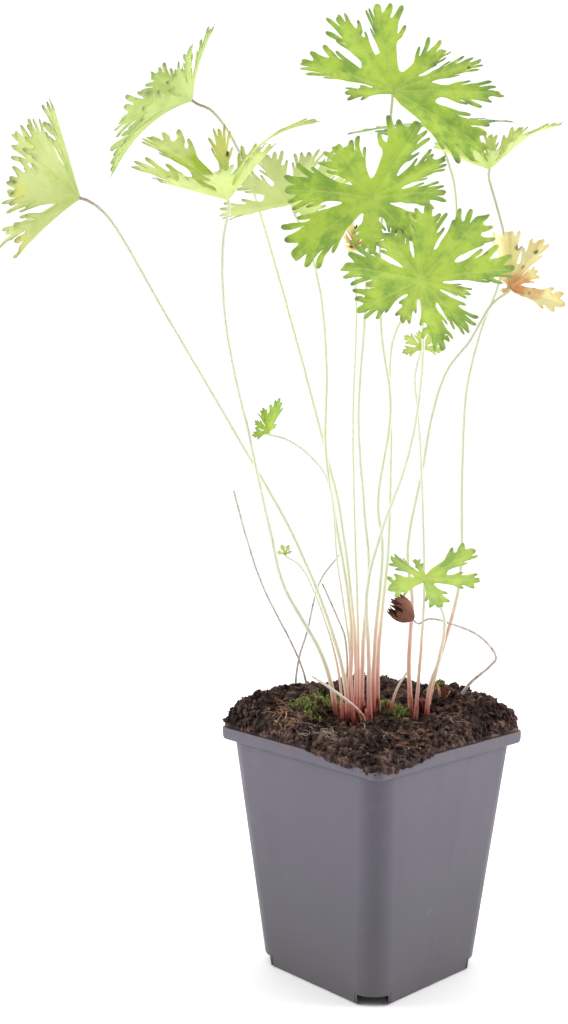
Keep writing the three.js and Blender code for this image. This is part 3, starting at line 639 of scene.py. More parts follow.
def turned(rng):
    """A random rotation as a 3 by 3 array."""
    axis = rng.normal(size=3)
    return np.array(Matrix.Rotation(any_turn(rng), 3, Vector(axis).normalized()))


CRUMBS, EDGE_CRUMBS, CORNER_CRUMBS, LIP_TRIES = 1500, 420, 90, 900
SOIL_REACH, CRUMB_LIMIT = 44, 43
CORNER_MIDDLE, CORNER_SPREAD = 53, (4.0, 4.5)


def make_crumbs():
    """Loose crumbs over the heap, more of them along its edge, at its two sides and on its front lip."""
    rng = np.random.default_rng(21)
    crumbs = Parts("shade")

    def drop(x, y, size, lift=0.35, floor=None):
        base = ground(x, y) - 0.2 if floor is None else floor
        stretch = size * rng.uniform(0.5, 1.3, 3)
        shape = any_lump(rng) * stretch @ turned(rng).T
        crumbs.add(shape + (x, y, base + lift * size), LUMP_FACES, shade=rng.random() ** 3 * 0.8)

    while crumbs.count < len(LUMPS[0]) * CRUMBS:
        x, y = rng.uniform(-SOIL_REACH, SOIL_REACH, 2)
        if math.hypot(x, y) < float(heap_edge(math.atan2(y, x))) - 0.8:
            drop(x, y, 0.35 + 1.35 * rng.random() ** 2.4)
    for _ in range(EDGE_CRUMBS):
        turn = any_turn(rng)
        reach = float(heap_edge(turn)) - rng.uniform(0.3, 2.5)
        drop(*reach * around(turn), 0.4 + 0.9 * rng.random() ** 1.8, 0.4)
    for side in (-1, 1):
        for _ in range(CORNER_CRUMBS):
            place = level(side * rng.normal(CORNER_MIDDLE, CORNER_SPREAD[0]), rng.normal(0, CORNER_SPREAD[1]))
            if np.max(np.abs(place)) < CRUMB_LIMIT:
                drop(*place, 0.7 + 1.0 * rng.random(), 0.8)
    for _ in range(LIP_TRIES):
        turn = any_turn(rng)
        hang = float(overhang(turn))
        if hang < 0.4:
            continue
        size = 0.3 + 0.6 * rng.random() ** 1.5
        reach = float(round_square(turn, RIM_WIDTH / 2 + 0.35 * size, RIM_CORNER))
        drop(*reach * around(turn), size, 0.0, POT_HEIGHT + 0.8 - (hang + 0.4) * rng.random() ** 1.2)
    piece = crumbs.piece("soil_crumbs", SOIL, "soil")
    piece.data.polygons.foreach_set("use_smooth", [False] * len(piece.data.polygons))


make_crumbs()


# ---------------------------------------------------------------- tubes: petioles, stalks and fibres

def catmull(points, per_span):
    """Points along a centripetal Catmull-Rom curve."""
    points = [np.asarray(p, float) for p in points]
    padded = [2 * points[0] - points[1], *points, 2 * points[-1] - points[-2]]
    out = []
    for i in range(len(points) - 1):
        p0, p1, p2, p3 = padded[i:i + 4]
        d0, d1, d2 = (max(np.linalg.norm(b - a) ** 0.5, 1e-4) for a, b in ((p0, p1), (p1, p2), (p2, p3)))
        t1 = ((p1 - p0) / d0 - (p2 - p0) / (d0 + d1) + (p2 - p1) / d1) * d1
        t2 = ((p2 - p1) / d1 - (p3 - p1) / (d1 + d2) + (p3 - p2) / d2) * d1
        for step in range(per_span):
            t = step / per_span
            out.append(p1 + t1 * t + (-3 * p1 + 3 * p2 - 2 * t1 - t2) * t ** 2
                       + (2 * p1 - 2 * p2 + t1 + t2) * t ** 3)
    out.append(points[-1])
    return np.array(out)


def tube(path, radii, sides=10, first=None, last=None, ridge=0.0, twist=0.0):
    """A closed tube round a path, as (points, faces); radii are in mm at each point of the path."""
    tangents = np.gradient(path, axis=0)
    if first is not None:
        tangents[0] = first
    if last is not None:
        tangents[-1] = last
    side = np.array([1.0, 0.0, 0.0])
    turns = 2 * np.pi * np.arange(sides) / sides
    points = []
    for i, (centre, tangent, radius) in enumerate(zip(path, tangents, radii)):
        tangent = unit(tangent)
        side = unit(side - tangent * (side @ tangent))
        other = np.cross(tangent, side)
        ring = np.outer(np.cos(turns), side) + np.outer(np.sin(turns), other)
        reach = radius * (1 + ridge * np.cos(4 * turns + twist * i))
        points.append(centre + reach[:, None] * ring)
    return np.vstack([*points, path[0], path[-1]]), ring_faces(len(path), sides)


HAIRS_PER_MM, HAIR_LENGTH, HAIR_WIDTH = 0.45, 0.35, 0.035


def add_hairs(parts, path, radii, rng, count, length, **values):
    """Fine hairs standing out from a tube, each a thin three-sided spike."""
    tangents = np.gradient(path, axis=0)
    picks = rng.uniform(2, len(path) - 2, count)
    for pick in picks:
        i = int(pick)
        centre = path[i] + (path[i + 1] - path[i]) * (pick - i)
        tangent = unit(tangents[i])
        out = unit(np.cross(tangent, rng.normal(size=3)))
        aside = np.cross(tangent, out)
        foot = centre + out * radii[i] * 0.9
        tip = foot + (out + 0.35 * tangent * rng.normal() - 0.25 * tangent) * length * rng.uniform(0.6, 1.3)
        ring = [foot + HAIR_WIDTH * (math.cos(a) * tangent + math.sin(a) * aside) for a in (0.3, 2.4, 4.5)]
        here = {key: np.asarray(value)[i] if np.ndim(value) else value for key, value in values.items()}
        parts.add([*ring, tip], [(0, 1, 3), (1, 2, 3), (2, 0, 3), (0, 2, 1)], **here)


FOOT_HEIGHT = 98
STEM_SIDES, STEPS_PER_SPAN = 10, 16
# Heights that a stem's thick foot and its pink part reach, and a height that every stub stays below
SWOLLEN_TO, SWELL_FADE, PINK_TO, STUB_TOP = 106, 7, 160, 135
PETIOLE_FOOT_RADIUS, PETIOLE_TIP_RADIUS, STALK_RADIUS, STEM_TAPER = 1.2, 0.58, 0.7, 0.4

UP = (0, 0, 1)
# Each petiole rises from its foot through the places in via to its hub, and the blade faces the way in face.
# A lobe is (angle, length, lift, width, droop) in degrees and mm; where they aren't given, the lift is the
# cup, the width 1 and the droop 0. Stains, tints and yellow patches are (x, y, radius, strength) on the
# flat leaf.
LEAVES = [
    # far_left and upper_left carry painted shade: their colour is darkened as a whole because the left lamp
    # lights them head-on.
    dict(name="far_left", foot=(-9.5, -7.5), hub=(-119, -10, 315), face=(-0.95, -0.1, 0.28),
         via=[(-11, -8, 118), (-16, -8, 139), (-32, -8, 179), (-56, -9, 221), (-84, -9, 268),
              (-108, -10, 308)],
         lobes=[(0, 38), (48, 45, 50), (98, 41, 50), (150, 40, 48, 1, 6), (-50, 36, 40), (-100, 36, 40),
                (-152, 37, 32, 1, 8)],
         cup=32, look=PALE, brown=0.75, brown_from=0.72, crinkle=0.5, pink=140, dim=0.2,
         stains=[(-11.5, -31.5, 0.9, 0.8), (-6.5, -34, 0.8, 0.7), (-14, -25.5, 0.7, 0.6),
                 (-31, -19.5, 0.9, 0.8), (-26.5, -21, 0.7, 0.7), (-33, -13, 0.7, 0.6)],
         tints=[(18, -26, 8, 0.5), (-20, -8, 8, 0.5)],
         yellows=[(-12, -31, 8, 0.9), (-29, -20, 8, 0.9), (-33, -12, 6, 0.7)]),
    dict(name="upper_left", foot=(-6, 4.5), hub=(-79, 38, 364), face=(-0.84, -0.2, 0.5),
         via=[(-7, 8, 136), (-14, 13, 190), (-21, 16, 218), (-30, 18, 251), (-44, 26, 299), (-59, 33, 343),
              (-70, 36, 359)],
         lobes=[(0, 32, 26, 0.8, 15), (36, 20, 26), (76, 30, 50, 1.3, 6), (124, 39, 46, 1.25, 12),
                (172, 46, 41, 1, 25), (-46, 24, 38, 1, 8), (-92, 26, 26), (-138, 36, 34, 1.2, 12)],
         cup=24, look=YOUNG, brown=0.85, brown_from=0.7, crinkle=0.45, dim=0.16),
    dict(name="pale_left", foot=(-13, -3), hub=(-59, -23, 313), face=(-0.12, -0.1, 0.98), lead=(-1, 0, 0),
         via=[(-20, -5, 129), (-37, -8, 161), (-42, -9, 181), (-49, -13, 213), (-60, -17, 265),
              (-61, -21, 296)],
         lobes=[(4, 39, 24), (40, 32, 14), (88, 26, 20), (136, 30, 30), (180, 45, 76, 0.75, 43),
                (-136, 28, 50, 1, 8), (-86, 32, 62, 0.85), (-34, 45, 50, 0.85, 10)],
         cup=25, look=PALE, crinkle=0.5, pink=140,
         stains=[(-2.8, -19.6, 1.3, 1), (29.5, -10.1, 1.2, 1), (36.3, -6.1, 1.1, 1), (-3, -9, 0.8, 0.9),
                 (21, -6.5, 0.8, 0.7)],
         tints=[(12, -14.4, 10, 1.0), (22, -9, 7, 0.9), (30, 14, 8, 0.6)],
         yellows=[(0, -24, 11, 0.9), (34, -7, 7, 0.6)]),
    # pale_middle is lifted towards a pale colour: painted light against the shade of the leaves above it.
    dict(name="pale_middle", foot=(-10, 1.5), hub=(-35, 14, 317), face=(-0.15, -0.5, 0.85),
         via=[(-9, 3, 144), (-16, 6, 188), (-20, 8, 215), (-20, 10, 250), (-23, 12, 281), (-29, 14, 303)],
         lobes=[(104, 31, -4, 0.8), (68, 29, 24, 1, 6), (34, 34, 26, 1, 6), (-4, 30, 26, 1, 6),
                (-48, 32, 24), (-94, 28), (-140, 24, 6)],
         cup=20, look=PALE, crinkle=0.6, wash=0.5, stains=[(28.9, 5.3, 0.9, 1), (30.3, -2.4, 0.8, 1)],
         tints=[(18, -16, 10, 0.6), (-2, -20, 8, 0.6), (20, 10, 7, 0.4)]),
    dict(name="top", foot=(0.5, 0.5), hub=(7, 30, 366), face=(0, -0.9, 0.42),
         via=[(1, 3, 132), (4, 7, 175), (2, 10, 193), (7, 14, 232), (3, 18, 264), (2, 21, 295), (5, 27, 341)],
         lobes=[(10, 44, 6, 0.85, 3), (32, 44, 7, 1, 4), (69, 41, 8, 1, 8), (96, 20.5, 14, 0.9, 8),
                (-51, 29.5, 10, 1, 3), (-70, 39.5, 8, 0.9, 4), (-93, 44.5, 8, 0.9, 6), (-128, 47, 8, 1, 8)],
         cup=6, look=GREEN, brown=0.3, stains=[(9.8, -31.7, 1.0, 0.8)]),
    dict(name="centre", foot=(-4.5, -5), hub=(-3, -12, 315), face=(-0.1, -0.88, 0.48),
         via=[(-4, -4, 137), (-2, -3, 168), (-4, -4, 190), (-7, -6, 229), (-5, -7, 268), (-4, -9, 297)],
         lobes=[(-29, 37, 8, 1.1), (34, 27.5, 14, 1.2, 6), (84, 35, 12, 1, 10), (132, 39.5, 10, 1.1, 12),
                (-176, 28, 14, 1, 8), (-61, 32), (-90, 29, 14, 1, 8), (-143, 27.5, 8, 1.15)],
         cup=8, look=GREEN, stains=[(-18.5, -11.9, 1.7, 0.85)]),
    dict(name="front_right", foot=(-1, -9.5), hub=(14, -46, 280), face=(0.05, -0.87, 0.5),
         via=[(-2, -10, 134), (-3, -13, 160), (2, -18, 183), (11, -25, 211), (15, -31, 234), (16, -38, 260)],
         lobes=[(-8, 32, 5, 1.1), (31, 23.5, 8, 1.1, 4), (81, 29, 10, 1.15, 8), (123, 28.5, 10, 1.15, 8),
                (157, 21, 5, 0.9), (-167, 30.5, 8, 1.05, 8), (-144, 28, 8, 1.1, 8), (-111, 19.5, 5, 0.9),
                (-83, 35, 10, 1.1, 8), (-43, 36.5, 8, 1.1)],
         cup=5, look=GREEN, stains=[(10.4, -24.4, 0.9, 0.8)]),
    dict(name="rear", foot=(2.5, 4.5), hub=(29, 67, 361), face=(-0.1, -0.1, 0.99), lead=(-1, 0, 0),
         via=[(3, 8, 131), (7, 17, 174), (8, 24, 215), (9, 33, 263), (20, 40, 280), (34, 48, 297),
              (37, 58, 328)],
         lobes=[(0, 41, 4, 0.5, 6), (46, 36, -9), (94, 26, -10), (140, 29, -8), (-178, 34, 0, 0.5, 6),
                (-42, 32, 4), (-90, 27, 4), (-136, 29, 4)],
         cup=0, fold=0.08, look=GREY, brown=0.2),
    dict(name="edge_right", foot=(21.5, -1.5), hub=(49, 35, 335), face=(0.1, -0.15, 0.98), lead=(1, 0, 0),
         via=[(25, 1, 118), (36, 6, 160), (37, 11, 205), (39, 17, 241), (45, 22, 265), (53, 26, 287),
              (55, 29, 304)],
         lobes=[(0, 35, 62, 0.6, 25), (46, 26, 46), (90, 20, 46), (132, 24, 44), (174, 26, 12),
                (-46, 25, 40), (-94, 15, 30), (-138, 16, 26)],
         cup=25, look=PALE, brown=0.35, crinkle=0.6, pink=175),
    dict(name="withered_right", foot=(16.5, -4), hub=(54, 2, 282), face=(-0.1, -0.9, 0.4),
         via=[(15, -3, 129), (16, -2, 154), (14, -1, 175), (20, 0, 210), (23, 0, 229), (29, 1, 248),
              (38, 2, 260), (47, 3, 275)],
         lobes=[(1, 24, 6, 1.15), (-33, 23, 12, 1.05), (-72, 13, 46, 1.2, 10), (-120, 25, 14, 0.7),
                (52, 9, 48, 1.2), (140, 6, 30)],
         cup=18, look=WITHERED, brown=0.3, crinkle=2.2, pink=180,
         stains=[(16.7, -3, 1.3, 1), (14, -10.3, 1.1, 1), (8, -5, 0.7, 0.8), (-4, -8, 0.8, 0.8)],
         tints=[(0, -3, 8, 0.95), (-4, -10, 5, 0.6)]),
    dict(name="small_front", foot=(17, -8.5), hub=(16, -30, 256), face=(0, -0.9, 0.4),
         via=[(19, -9, 130), (20, -12, 154), (19, -16, 185), (16, -23, 227), (14, -26, 245)],
         lobes=[(58, 8), (8, 7), (-48, 9), (-104, 8), (112, 8)],
         cup=10, thin=0.8, look=PALE),
    dict(name="young_low", foot=(21.5, -7), hub=(18, -40, 168), face=(0, -0.8, 0.6),
         via=[(23, -10, 119), (26, -17, 133), (27, -26, 150), (22, -35, 161)],
         lobes=[(26, 9, 8, 0.8), (58, 15.5, 8, 0.9), (112, 16, 8, 1.1), (-159, 14, 8, 1.2),
                (-95, 20, 8, 0.8), (-60, 22.5, 8, 0.8)],
         cup=8, look=GREEN, wash=0.12, pink=150),
    dict(name="withered_centre", foot=(-5.5, -0.5), hub=(-9, 4, 299), face=(0, -0.9, 0.4),
         via=[(-6, 0, 140), (-8, 2, 190), (-9, 3, 229), (-8, 5, 268)],
         lobes=[(20, 9, 34, 1.4, -12), (-46, 9, 40, 1.4, -12), (92, 8, 44, 1.3, -8), (160, 10, 30, 1.4, -12),
                (-112, 8, 44, 1.3, -8)],
         cup=34, thin=0.75, look=WITHERED, crinkle=1.6,
         stains=[(7, -0.3, 1.1, 1), (2.4, -4.5, 1.0, 1), (-3, 2, 1.2, 1)], tints=[(0, 0, 7, 0.9)]),
    dict(name="tiny_folded", foot=(-7.5, -11), hub=(-43, -14, 223), face=(0, -0.9, 0.4),
         via=[(-10, -11, 137), (-15, -12, 170), (-19, -13, 203), (-27, -14, 214), (-36, -14, 220)],
         lobes=[(-20, 14, 30, 1.1), (14, 10, 10, 1.1), (56, 7), (104, 7, 0), (-62, 5, 50)],
         cup=16, thin=0.6, look=GREEN),
    dict(name="tiny_curled", foot=(-12, -10.5), hub=(-36, -13, 174), face=(0, -0.9, 0.4),
         via=[(-14, -12, 125), (-22, -14, 153), (-30, -13, 169)],
         lobes=[(30, 4.5), (-24, 4), (92, 4), (-80, 3)],
         cup=34, thin=0.6, look=PALE),
    dict(name="dried_curled", foot=(30, 5), hub=(15, -20, 149), face=(-0.75, -0.25, 0.6),
         via=[(40, 2, 118), (48, -3, 127), (50, -8, 132), (43, -13, 141), (33, -16, 146), (22, -18, 149)],
         lobes=[(10, 13, 20, 1.5, -50), (66, 12, 26, 1.5, -46), (122, 11, 18, 1.5, -50),
                (-178, 12, 24, 1.5, -50), (-120, 10, 30, 1.5, -40), (-56, 13, 20, 1.5, -52)],
         cup=20, thin=0.7, look=DRY, crinkle=2.2),
]
STALKS = [
    dict(name="dry_stalk_left", foot=(-24, 26),
         via=[(-30, 25, 122), (-46, 22, 155), (-53, 21, 175), (-59, 20, 197)]),
    dict(name="dry_stalk_tall", foot=(-33, 20),
         via=[(-31, 20, 123), (-27, 18, 138), (-22, 15, 159), (-13, 13, 172)]),
    dict(name="dry_stalk_short", foot=(-10.5, 7), via=[(-11, 8, 135), (-15, 9, 146), (-21, 10, 159)]),
    dict(name="stub_front", foot=(-3, -14.5), thin=1.2,
         via=[(-4, -15, 108), (-13, -17, 117), (-25, -16, 125)]),
    dict(name="stub_middle", foot=(7, 0), thin=1.2, via=[(8, 1, 108), (11, 3, 117), (15, 5, 123)]),
]


def stem_path(stem, per_span):
    points = [spot((*stem["foot"], FOOT_HEIGHT)), *map(spot, stem["via"])]
    facing = None
    if "hub" in stem:
        facing = unit(spot(stem["face"]))
        points += [spot(stem["hub"]) - facing * 3.0, spot(stem["hub"]) - facing * 0.16]
    return catmull(points, per_span), facing


def make_stem(stem, index):
    """One petiole, stalk or stub, with its fine hairs."""
    rng = np.random.default_rng(100 + index)
    leafy = "hub" in stem
    dry = stem["name"].startswith("dry_stalk") or stem.get("look") == DRY
    path, facing = stem_path(stem, STEPS_PER_SPAN)
    along = np.linspace(0, 1, len(path))
    thin = stem.get("thin", 1)
    foot = thin * (PETIOLE_FOOT_RADIUS if leafy else STALK_RADIUS)
    tip = PETIOLE_TIP_RADIUS * thin if leafy else 0.6 * foot
    radii = foot + (tip - foot) * along ** STEM_TAPER
    above = np.maximum(path[:, 2] - SWOLLEN_TO, 0)
    radii *= 1 + (0.22 if leafy else 0.1) * np.exp(-(above / SWELL_FADE) ** 2)
    if leafy:
        radii *= 1 + 0.25 * smooth(along, 0.985, 1.0)
    radii *= 1 + 0.05 * fractal(path, 4.0, 2, index)
    sway = 0.12 * np.stack([fractal(path, 9.0, 2, index + k) for k in (0.3, 7.7, 14.1)], 1)
    path = path + sway * (smooth(along, 0, 0.1) * (1 - smooth(along, 0.9, 1)))[:, None]
    reach = np.cumsum(np.r_[0, np.linalg.norm(np.diff(path, axis=0), axis=1)])
    pink = stem.get("pink", PINK_TO)
    fades = lambda low, high: 1 - smooth(path[:, 2], low, high)
    if dry:
        blush = 0.9 * fades(102, 118)
    elif path[-1, 2] < STUB_TOP:
        blush = 0.1 + 0.8 * fades(103, 122)
    else:
        blush = 0.5 * fades(pink - 45, pink + 12) + 0.4 * fades(102, 123)
    brown = stem.get("brown", 0.05) * smooth(along, stem.get("brown_from", 0.35), 0.92)
    parts = Parts("blush", "brown")
    points, faces = tube(path, radii, STEM_SIDES, UP, facing, 0.08 if dry else 0.02, 0.02)
    spread = lambda values: np.r_[np.repeat(values, STEM_SIDES), values[0], values[-1]]
    parts.add(points, faces, blush=spread(blush), brown=spread(brown))
    hairs = int(reach[-1] * HAIRS_PER_MM) if leafy and not dry else 0
    add_hairs(parts, path, radii, rng, hairs, HAIR_LENGTH, blush=np.minimum(blush, 0.3), brown=brown)
    slot = "dry_stalk" if dry else "petiole"
    node = f"petiole_{stem['name']}" if leafy else stem["name"]
    name = f"leaf_{stem['name']}_petiole" if leafy else f"{stem['name']}_stem"
    parts.piece(name, DRY_STALK if dry else PETIOLE, slot, [node])


for index, stem in enumerate([*LEAVES, *STALKS]):
    make_stem(stem, index)


# ---------------------------------------------------------------- leaf blades

# One half of a lobe from its waist to its tip: along the midrib, aside as a part of the half width, and
# the part of the lobe whose random change of size it follows
LOBE_EDGE = [
    (0.42, 0.46, 0), (0.50, 0.57, 0), (0.57, 0.70, 1), (0.64, 0.86, 1), (0.69, 0.95, 1), (0.715, 0.91, 1),
    (0.70, 0.81, 1), (0.655, 0.69, 1), (0.61, 0.57, 2), (0.655, 0.59, 2), (0.74, 0.78, 3), (0.81, 0.96, 3),
    (0.86, 1.07, 3), (0.895, 1.02, 3), (0.885, 0.89, 3), (0.825, 0.70, 3), (0.76, 0.51, 5), (0.80, 0.50, 5),
    (0.87, 0.58, 6), (0.935, 0.66, 6), (0.975, 0.64, 6), (0.98, 0.53, 6), (0.93, 0.38, 6), (0.87, 0.22, 7),
    (0.91, 0.21, 7), (0.965, 0.22, 7), (1.0, 0.16, 7),
]
TOOTH_TIPS = [(0.70, 0.92, 1), (0.88, 1.02, 3), (0.97, 0.60, 6)]
SIDE_VEINS = [
    ((0.24, 0.0), (0.44, 0.36), (0.66, 0.82), 0.45), ((0.42, 0.0), (0.62, 0.38), (0.85, 0.98), 0.6),
    ((0.62, 0.0), (0.78, 0.22), (0.95, 0.58), 0.55),
]
MIDDLE_EDGE = [
    (0.42, 0.46, 0), (0.52, 0.60, 1), (0.62, 0.84, 1), (0.69, 0.97, 1), (0.73, 0.94, 1), (0.715, 0.80, 1),
    (0.66, 0.58, 2), (0.72, 0.56, 2), (0.82, 0.74, 6), (0.91, 0.88, 6), (0.96, 0.83, 6), (0.95, 0.64, 6),
    (0.88, 0.36, 7), (0.92, 0.31, 7), (0.975, 0.28, 7), (1.005, 0.15, 7),
]
MIDDLE_TIPS = [(0.70, 0.93, 1), (0.94, 0.80, 6)]
MIDDLE_VEINS = [
    ((0.24, 0.0), (0.44, 0.36), (0.67, 0.85), 0.45), ((0.50, 0.0), (0.72, 0.34), (0.92, 0.74), 0.6),
]
SMALL_EDGE = [
    (0.30, 0.34, 0), (0.38, 0.45, 0), (0.56, 0.75, 1), (0.72, 1.05, 1), (0.78, 1.02, 1), (0.75, 0.78, 2),
    (0.68, 0.56, 2), (0.80, 0.50, 2), (0.90, 0.62, 2), (0.93, 0.50, 2), (0.87, 0.28, 2), (1.0, 0.16, 2),
]
SMALL_TIPS = [(0.77, 1.0, 1), (0.92, 0.56, 2)]
SMALL_VEINS = [((0.36, 0.0), (0.55, 0.45), (0.74, 0.92), 0.5)]
LONG_PLAN, MIDDLE_PLAN = (LOBE_EDGE, TOOTH_TIPS, SIDE_VEINS), (MIDDLE_EDGE, MIDDLE_TIPS, MIDDLE_VEINS)
SMALL_PLAN = (SMALL_EDGE, SMALL_TIPS, SMALL_VEINS)
LEAF_SLOTS = {YOUNG: GREEN}
# Lobes shorter than MIDDLE_LOBE, and leaves whose lobes are all shorter than SMALL_LEAF, have fewer teeth
MIDDLE_LOBE, SMALL_LEAF = 27, 15
LOBE_HALF_WIDTH, LOBE_SHARE, BASAL_GAP, FOLD = 0.3, 0.64, 80, 0.22
TOOTH_VARIATION, SINUS_DEPTH = 0.12, (0.24, 0.42)
LIFT_SPREAD = 26
EDGE_HALF, INNER_HALF, VEIN_GROOVE, VEIN_RIDGE = 0.11, 0.07, 0.05, 0.16
PLEAT_DEPTH = 0.28


def lobe_ring(leaf):
    """The lobes of a leaf in the order of their angles, each with the gaps to its neighbours."""
    ring = []
    for lobe in leaf["lobes"]:
        angle, length, lift, width, droop = (*lobe, *(leaf["cup"], 1, 0)[len(lobe) - 2:])
        ring.append(dict(angle=angle, length=length, lift=lift, width=width, droop=droop))
    ring.sort(key=lambda lobe: lobe["angle"])
    for i, lobe in enumerate(ring):
        following = ring[(i + 1) % len(ring)]
        lobe["gap"] = (following["angle"] - lobe["angle"]) % 360
        following["gap_before"] = lobe["gap"]
    return ring


def bent(leaf, ring, flat, rise):
    """Bends points of the flat leaf up by the lift of the lobes near their direction."""
    reach = np.hypot(*flat.T)
    angle = np.degrees(np.arctan2(flat[:, 1], flat[:, 0]))
    weight, lift = np.full(len(flat), 1e-9), np.zeros(len(flat))
    for lobe in ring:
        off = (angle - lobe["angle"] + 180) % 360 - 180
        pull = np.exp(-((off / LIFT_SPREAD) ** 2))
        weight += pull
        lift += pull * (lobe["lift"] - lobe["droop"] * reach / lobe["length"])
    slope = np.radians(lift / weight)
    face = unit(spot(leaf["face"]))
    lead = spot(leaf.get("lead", UP))
    lead = unit(lead - face * (lead @ face))
    side = np.cross(face, lead)
    return (spot(leaf["hub"]) + np.outer(flat[:, 0] * np.cos(slope), lead)
            + np.outer(flat[:, 1] * np.cos(slope), side)
            + np.outer(reach * np.sin(slope) + rise * np.cos(slope), face))


def chaikin(points, rounds):
    """Rounds the corners of a closed outline."""
    for _ in range(rounds):
        following = np.roll(points, -1, axis=0)
        cuts = [0.75 * points + 0.25 * following, 0.25 * points + 0.75 * following]
        points = np.stack(cuts, 1).reshape(-1, 2)
    return points


def distance_to(points, lines):
    """Distance from each point to the nearest of the straight pieces (start, end)."""
    starts = np.array([a for a, _ in lines])
    ways = np.array([b for _, b in lines]) - starts
    best = np.full(len(points), 1e9)
    for start, way in zip(starts, ways):
        t = np.clip((points - start) @ way / (way @ way + 1e-12), 0, 1)
        best = np.minimum(best, np.linalg.norm(points - start - t[:, None] * way, axis=1))
    return best


def inside(points, outline):
    """Whether each point is inside the outline."""
    x, y = points[:, 0][:, None], points[:, 1][:, None]
    ax, ay = outline[:, 0], outline[:, 1]
    bx, by = np.roll(ax, -1), np.roll(ay, -1)
    crosses = ((ay > y) != (by > y)) & (x < (bx - ax) * (y - ay) / (by - ay + 1e-15) + ax)
    return crosses.sum(1) % 2 == 1


def blade_plan(leaf, ring):
    """The flat leaf: its outline, tooth tips, midribs, and veins as (points, strength)."""
    small = all(lobe["length"] < SMALL_LEAF for lobe in ring)
    outline, tips, veins = [], [], []
    for i, lobe in enumerate(ring):
        out = around(math.radians(lobe["angle"]))
        across = np.array([-out[1], out[0]])
        length = lobe["length"]
        edge, tooth_tips, side_veins = (SMALL_PLAN if small else MIDDLE_PLAN if length < MIDDLE_LOBE
                                        else LONG_PLAN)
        put = lambda along, aside: length * (along * out + aside * across)
        sides = {}
        for way in (-1, 1):
            gap = lobe["gap"] if way > 0 else lobe["gap_before"]
            wedge = math.tan(math.radians(min(gap, BASAL_GAP) / 2))
            half = lobe["width"] * min(LOBE_HALF_WIDTH, LOBE_SHARE * wedge)
            vary = 1 + TOOTH_VARIATION * (chance(7 * i + 3 * np.arange(8) + way + leaf["seed"]) - 0.5)

            def edge_point(along, aside, part, way=way, half=half, vary=vary):
                return put(along * vary[part], way * aside * half * (2 - vary[part]))

            sides[way] = [edge_point(*entry) for entry in edge]
            tips += [edge_point(*entry) for entry in tooth_tips]
            for start, bend, end, strength in side_veins:
                t = np.linspace(0, 1, max(4, int(length * 0.42)))[:, None]
                a, b, c = (put(along, way * aside * half) for along, aside in (start, bend, end))
                veins.append(((1 - t) ** 2 * a + 2 * t * (1 - t) * b + t ** 2 * c, strength))
        tip = put(1, 0)
        tips.append(tip)
        t = np.linspace(0, 0.97, max(4, int(length / 0.8)))[:, None]
        veins.append((tip * t, 1.0))
        outline += sides[-1] + [put(1.01, 0)] + sides[1][::-1]
        following = ring[(i + 1) % len(ring)]
        middle = math.radians(lobe["angle"] + lobe["gap"] / 2)
        if lobe["gap"] < BASAL_GAP:
            depth = np.clip(0.86 - 0.0115 * lobe["gap"], *SINUS_DEPTH)
            reach = depth * min(length, following["length"])
            outline.append(reach * around(middle))
        else:
            near, far = (math.radians(lobe["angle"] + 32), math.radians(following["angle"] - 32))
            for turn, reach in ((near, 0.2 * length), (middle, 1.8), (far, 0.2 * following["length"])):
                outline.append(reach * around(turn))
    return np.array(outline), np.array(tips), veins


def drop_close(points, keep_off, distance):
    """The points that are further than a distance from every point of another set."""
    kept = []
    for chunk in np.array_split(points, max(1, len(points) // 400)):
        gap = np.linalg.norm(chunk[:, None] - keep_off[None], axis=2).min(1)
        kept.append(chunk[gap > distance])
    return np.concatenate(kept)


